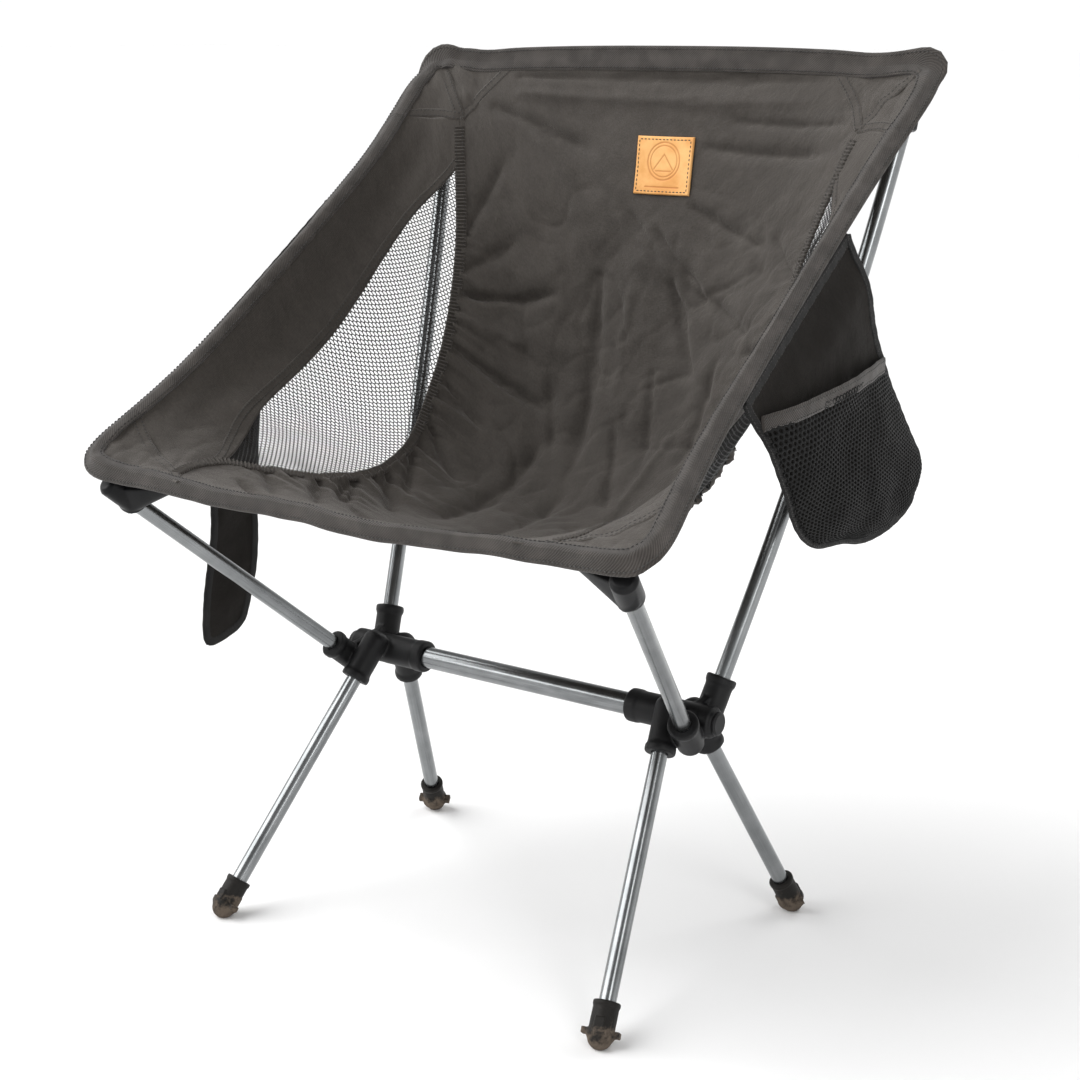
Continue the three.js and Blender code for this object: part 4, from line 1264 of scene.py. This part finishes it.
def build_seat():
    panel = build_panel()
    rim = rim_paths()
    stitch_rows, seams, hems = [], [], []
    for name, side in SIDES:
        band = build_band(name, side)
        net = build_net(name, side)
        parts, rows = build_seams(name, side)
        seams.extend(parts)
        stitch_rows.extend(rows)
        path = rim["hem_side"]
        build_corner("front", name, side, FRONT_PATCH, rim["corner_front"])
        side_tape, rows = tape(f"hem_side_{name}_tape", path, rim_aways("hem_side", len(path)), side, 3.3)
        ride(side_tape, "frame", f"hem_side_{name}")
        stitch_rows.extend(rows)
        build_corner("back", name, side, BACK_PATCH, rim["corner_back"])
        declare(band)
    for key, wobble_seed in (("hem_front", 6.6), ("hem_top", 9.9)):
        half = rim[key]
        other = to_side(half, -1)[::-1]
        path = np.concatenate((other, half[1:]) if key == "hem_front" else (half, other[1:]))
        hem, rows = tape(f"{key}_tape", path, rim_aways(key, len(path)), 1, wobble_seed)
        hems.append(ride(hem, "frame", key))
        stitch_rows.extend(rows)
    sewn_seams = ride(seam_piece("seat_seams", seams, CHARCOAL), "frame")
    stitch_rows.extend(build_label())
    thread = stitching("seat_stitches", stitch_rows, lambda piece: ride(piece, "frame"))
    declare(panel)


# ---- corner sleeves ---------------------------------------------------------------------------
PLATES = {"front": (0.67, 0.95, 0.042, xyz(0, 2, -7.5)), "back": (0.7, 0.96, 0.965, xyz(0, 7, -2))}


def build_sleeves():
    """Under each corner a black sleeve takes the pole tip and widens to the edge of the cloth."""
    ends = {"front": (FRONT_POLE[1], SPOKES["pole_front"][1]),
            "back": (BACK_POLE[1], unit(BACK_POLE[1] - even(BACK_LINE, 5)[-2]))}
    for end, (tip, direction) in ends.items():
        start, stop, up, shift = PLATES[end]
        mouth = tip + direction * (CAP_HEIGHT + GAP - CUP_DEPTH)
        high = seat(mix(start, stop, np.linspace(0, 1, 9)), np.full(9, up)) + shift
        middle, wide = high.mean(0), unit(high[-1] - high[0])
        inner_end = high[0] + wide * CUP_R
        angles = np.linspace(0, math.tau, 56, endpoint=False)
        rings = [np.tile(mouth, (56, 1))]
        thin = unit(np.cross(direction, wide))
        for s in np.linspace(0, 1, 15):
            outer, inner = mouth + direction * (CUP_DEPTH - 4) * s, mix(mouth, inner_end, s)
            lie = wide if s < 0.05 else unit(outer - inner)
            long, thick = np.linalg.norm(outer - inner) / 2 + CUP_R + 0.8, mix(CUP_R + 1.0, 5.0, s ** 1.5)
            rings.append((outer + inner) / 2 + np.cos(angles)[:, None] * lie * long
                         + np.sin(angles)[:, None] * thin * thick)
        rings.append(np.tile((outer + inner) / 2, (56, 1)))
        body = solid(np.array(rings))
        cylinder = [(0, 0), (CUP_R, 0), (CUP_R, CUP_DEPTH), (CUP_R - 2.5, CUP_DEPTH + 3), (0, CUP_DEPTH + 3)]
        sleeve = solid(turned(cylinder, mouth, direction))
        reach = CUP_DEPTH + 8
        bore = solid(turned([(0, 0), (CAP_R + GAP, 0), (CAP_R + GAP, reach), (0, reach)],
                            mouth - direction * 8, direction))
        made = moulding(f"corner_sleeve_{end}_right", [body, sleeve], [bore], SLEEVE, 0.8, 4)
        for name, side in SIDES:
            piece = made if side > 0 else other_side(made, f"corner_sleeve_{end}_left")
            ride(piece, f"corner_{end}_{name}", f"corner_cup_{end}_{name}")


# ---- side pockets -----------------------------------------------------------------------------
POCKET_X = SEAT_HALF + 10
POCKET_DROP = 6
PULL = 12
POCKET_SEAM = (0.3, 0.645)
POCKETS = {
    "right": {"front": [(3, 0), (43, -63), (70, -103), (116, -131)],
              "back": [(6, 0), (31, -76), (89, -150), (138, -210)],
              "mouth": (0.08, 0.42), "low": 8, "nip": 0.2},
    "left": {"front": [(0, 0), (3, -80), (4, -162), (-8, -225), (-11, -260)],
             "back": [(0, 0), (-58, -90), (-84, -178), (-86, -230), (-92, -290), (-106, -343)],
             "mouth": (0.3, 0.3), "low": 2, "nip": 0.05},
}


def pocket_shape(name, side):
    """Gives the function that places a point of a pocket: u from front to back, v from its seam to
    the bottom, off outwards. Its top edge lies against the hem tape and its lower corners are round."""
    outline = POCKETS[name]
    rails = []
    for key, share in (("front", POCKET_SEAM[0]), ("back", POCKET_SEAM[1])):
        rail = smooth_line([(edge(share) + (0, y, z)) * (0, 1, 1) for y, z in outline[key]])
        rails.append((np.linspace(0, 1, len(rail)), rail))

    def place(u, v, off=0.0):
        u, v = np.broadcast_arrays(np.asarray(u, float), np.asarray(v, float))
        front, back = (read_at(*rail, v) for rail in rails)
        nip = outline["nip"] * smoothstep(0.78, 1.0, v) ** 2
        p = mix(front, back, mix(nip, 1 - nip, u)[..., None])
        sag = outline["low"] * 4 * u * (1 - u) * v ** 4
        soft = 2.6 * crumple(p[..., 1], p[..., 2], 45, 2.5 + side) * smoothstep(0, 0.15, v)
        soft += 1.0 * crumple(p[..., 1], p[..., 2], 17, 8.5 + side) * smoothstep(0, 0.15, v)
        hem = edge(mix(*POCKET_SEAM, u))[..., 0] + 9.5
        x = mix(hem, POCKET_X, smoothstep(0, 0.16, v))
        z = p[..., 2] - sag - POCKET_DROP * (1 - v)
        return np.stack((side * (x + off + soft), p[..., 1], z), -1)

    return place, outline


def build_pocket(name, side):
    place, outline = pocket_shape(name, side)
    body = f"pocket_{name}"
    u, v = np.meshgrid(np.linspace(0, 1, 50), np.linspace(0, 1, 80))
    points = place(u, v)
    uv = np.stack((points[..., 1], points[..., 2]), -1)
    panel = cloth_piece(f"pocket_panel_{name}_cloth", points, POCKET_CLOTH, uv)
    cut_size(panel, points)
    ride(panel, body, f"pocket_panel_{name}")

    def mouth(u):
        return mix(*outline["mouth"], u)

    def bulge(u, v):
        share = (1 - v) / (1 - mouth(u))
        wide = np.sin(math.pi * np.clip(u, 0, 1)) ** 0.7
        tall = np.sin(math.pi / 2 * np.clip(share * 1.6, 0, 1)) ** 0.7
        return 1.4 + (PULL - 1) * wide * tall

    size = float(np.linalg.norm(place(1.0, 0.6) - place(0.0, 0.6)))
    deep = float(np.linalg.norm(place(0.5, 1.0) - place(0.5, mouth(0.5))))
    pitch = 4.2

    def inside(x, y):
        return (x > 1.0) & (x < size - 1.0) & (y > 1.0) & (y < deep)

    def on_pouch(x, y, off):
        a = np.clip(x / size, 0, 1)
        b = 1 - np.clip(y / deep, 0, 1) * (1 - mouth(a))
        wave = 3.0 * crumple(x, y, 34, 6.1) * np.sin(math.pi * a)
        return place(a, b, bulge(a, b) + off + wave)

    centres = honeycomb((0, size), (0, deep), pitch, inside)
    net = net_mesh(f"pocket_net_{name}_mesh", centres, pitch, 0.62, 0.8, on_pouch, POUCH_NET)
    net["area"] = net_area(net, centres, pitch)
    if side < 0:
        net.data.flip_normals()
    ride(net, body, f"pocket_net_{name}")

    t = np.linspace(0, 1, 60)
    rail_front, rail_back = place(np.zeros(60), t), place(np.ones(60), t)
    bottom = place(np.linspace(0, 1, 40), np.ones(40))
    outlines = np.concatenate((rail_front, bottom[1:-1], rail_back[::-1]))
    binding, rows = bound_edge(f"pocket_binding_{name}", rounded_line(outlines, 5), side, 7.5, BINDING)
    ride(binding, body)
    band_u = np.linspace(0.015, 0.985, 50)
    band_v = mouth(band_u) + 0.005
    band_line = place(band_u, band_v, bulge(band_u, band_v))
    band, band_rows = bound_edge(f"pocket_mouth_{name}", band_line, side, 12.0, TAPE)
    ride(band, body)
    top = place(np.linspace(0, 1, 60), np.full(60, 0.01))
    header, header_rows = bound_edge(f"pocket_header_{name}", top, side, 10.0, BINDING)
    ride(header, body)
    all_rows = rows + band_rows + header_rows
    thread = stitching(f"pocket_stitches_{name}", all_rows, lambda piece: ride(piece, body))
    declare(panel)


def rounded_line(line, times):
    """The same line with its corners eased."""
    line = even(line, 160)
    for _ in range(times):
        line[1:-1] = (line[:-2] + line[1:-1] * 2 + line[2:]) / 4
    return line


def bound_edge(name, line, side, width, material):
    """A flat folded tape that wraps a line in the pocket's plane."""
    tangent = unit(np.gradient(line, axis=0))
    lift = np.tile(xyz(side, 0, 0), (len(line), 1))
    wide = unit(np.cross(tangent, lift))
    run = lengths(line)
    section = [(-0.5, 0.0), (-0.46, 0.85), (-0.3, 1.15), (0.3, 1.15), (0.46, 0.85), (0.5, 0),
               (0.46, -0.85), (0.3, -1.15), (-0.3, -1.15), (-0.46, -0.85)]
    ripple = 0.2 * np.sin(run / 13 * math.tau)
    rows = [line + wide * off * width + lift * (high + ripple)[:, None] for off, high in section]
    around = lengths(np.array([(off * width, high) for off, high in section + section[:1]]))
    stitches = [(line + wide * way * width * 0.3 + lift * (1.2 + ripple)[:, None], lift) for way in (-1, 1)]
    return seam_piece(name, [strip(rows, run, around)], material), stitches


# ---- camera, floor and light ------------------------------------------------------------------
def build_studio():
    scene = bpy.context.scene
    camera = bpy.data.cameras.new("camera")
    camera.sensor_width = 36
    camera.lens = 65.54
    camera.clip_end = 100
    seen = bpy.data.objects.new("camera", camera)
    seen.location = (0.8664, -1.1840, 0.6885)
    seen.rotation_euler = (math.radians(75.40), 0, math.radians(35.49))
    scene.collection.objects.link(seen)
    scene.camera = seen

    mesh = bpy.data.meshes.new("floor")
    reach = 60
    corners = [(x * reach, y * reach, 0) for x, y in ((-1, -1), (1, -1), (1, 1), (-1, 1))]
    mesh.from_pydata(corners, [], [(0, 1, 2, 3)])
    mesh.materials.append(studio_floor("studio_floor"))
    floor = bpy.data.objects.new("floor", mesh)
    scene.collection.objects.link(floor)

    def softbox(name, place, aim, size, power):
        lamp = bpy.data.lights.new(name, "AREA")
        lamp.shape = "RECTANGLE"
        lamp.size, lamp.size_y = size
        lamp.energy = power
        made = bpy.data.objects.new(name, lamp)
        made.location = place
        made.rotation_euler = (Vector(aim) - Vector(place)).to_track_quat("-Z", "Y").to_euler()
        scene.collection.objects.link(made)

    sun = bpy.data.lights.new("window", "SUN")
    sun.energy = 3.3
    sun.angle = math.radians(60)
    made = bpy.data.objects.new("window", sun)
    made.rotation_euler = (Vector((0, 0, 0)) - Vector((-1.5, -0.9, 1.7))).to_track_quat("-Z", "Y").to_euler()
    scene.collection.objects.link(made)
    softbox("fill", (2.4, -1.4, 1.6), (0, 0, 0.4), (0.7, 1.8), 20)
    softbox("rim", (0.4, 1.9, 1.9), (0, 0, 0.5), (1.8, 0.6), 16)

    # the sky of the studio: white low down all round, and dim above
    world = bpy.data.worlds.new("studio")
    world.use_nodes = True
    tree = world.node_tree
    way = tree.nodes.new("ShaderNodeTexCoord")
    split = tree.nodes.new("ShaderNodeSeparateXYZ")
    fade = tree.nodes.new("ShaderNodeMapRange")
    fade.interpolation_type = "SMOOTHSTEP"
    for socket, number in (("From Min", 0.10), ("From Max", 0.45), ("To Min", 1.02), ("To Max", 0.34)):
        fade.inputs[socket].default_value = number
    tree.links.new(way.outputs["Generated"], split.inputs[0])
    tree.links.new(split.outputs["Z"], fade.inputs["Value"])
    tree.links.new(fade.outputs[0], tree.nodes["Background"].inputs["Strength"])
    tree.nodes["Background"].inputs["Color"].default_value = (1, 1, 1, 1)
    scene.world = world
    scene.view_settings.view_transform = "Standard"


def finish_nodes():
    """The frame's own pieces that stay as they are get their finishes."""
    finishes = {"hub_cap": MOULDED, "tip_cap": MOULDED, "ferrule": ALUMINIUM, "leg_cord": ELASTIC,
                "pole_cord": ELASTIC, "crossbar_cord": ELASTIC}
    for name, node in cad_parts.items():
        for start, material in finishes.items():
            if name.startswith(start):
                node.data.materials.clear()
                node.data.materials.append(material)


build_studio()
build_frame()
finish_nodes()
build_seat()
build_sleeves()
for pocket_side, pocket_way in SIDES:
    build_pocket(pocket_side, pocket_way)
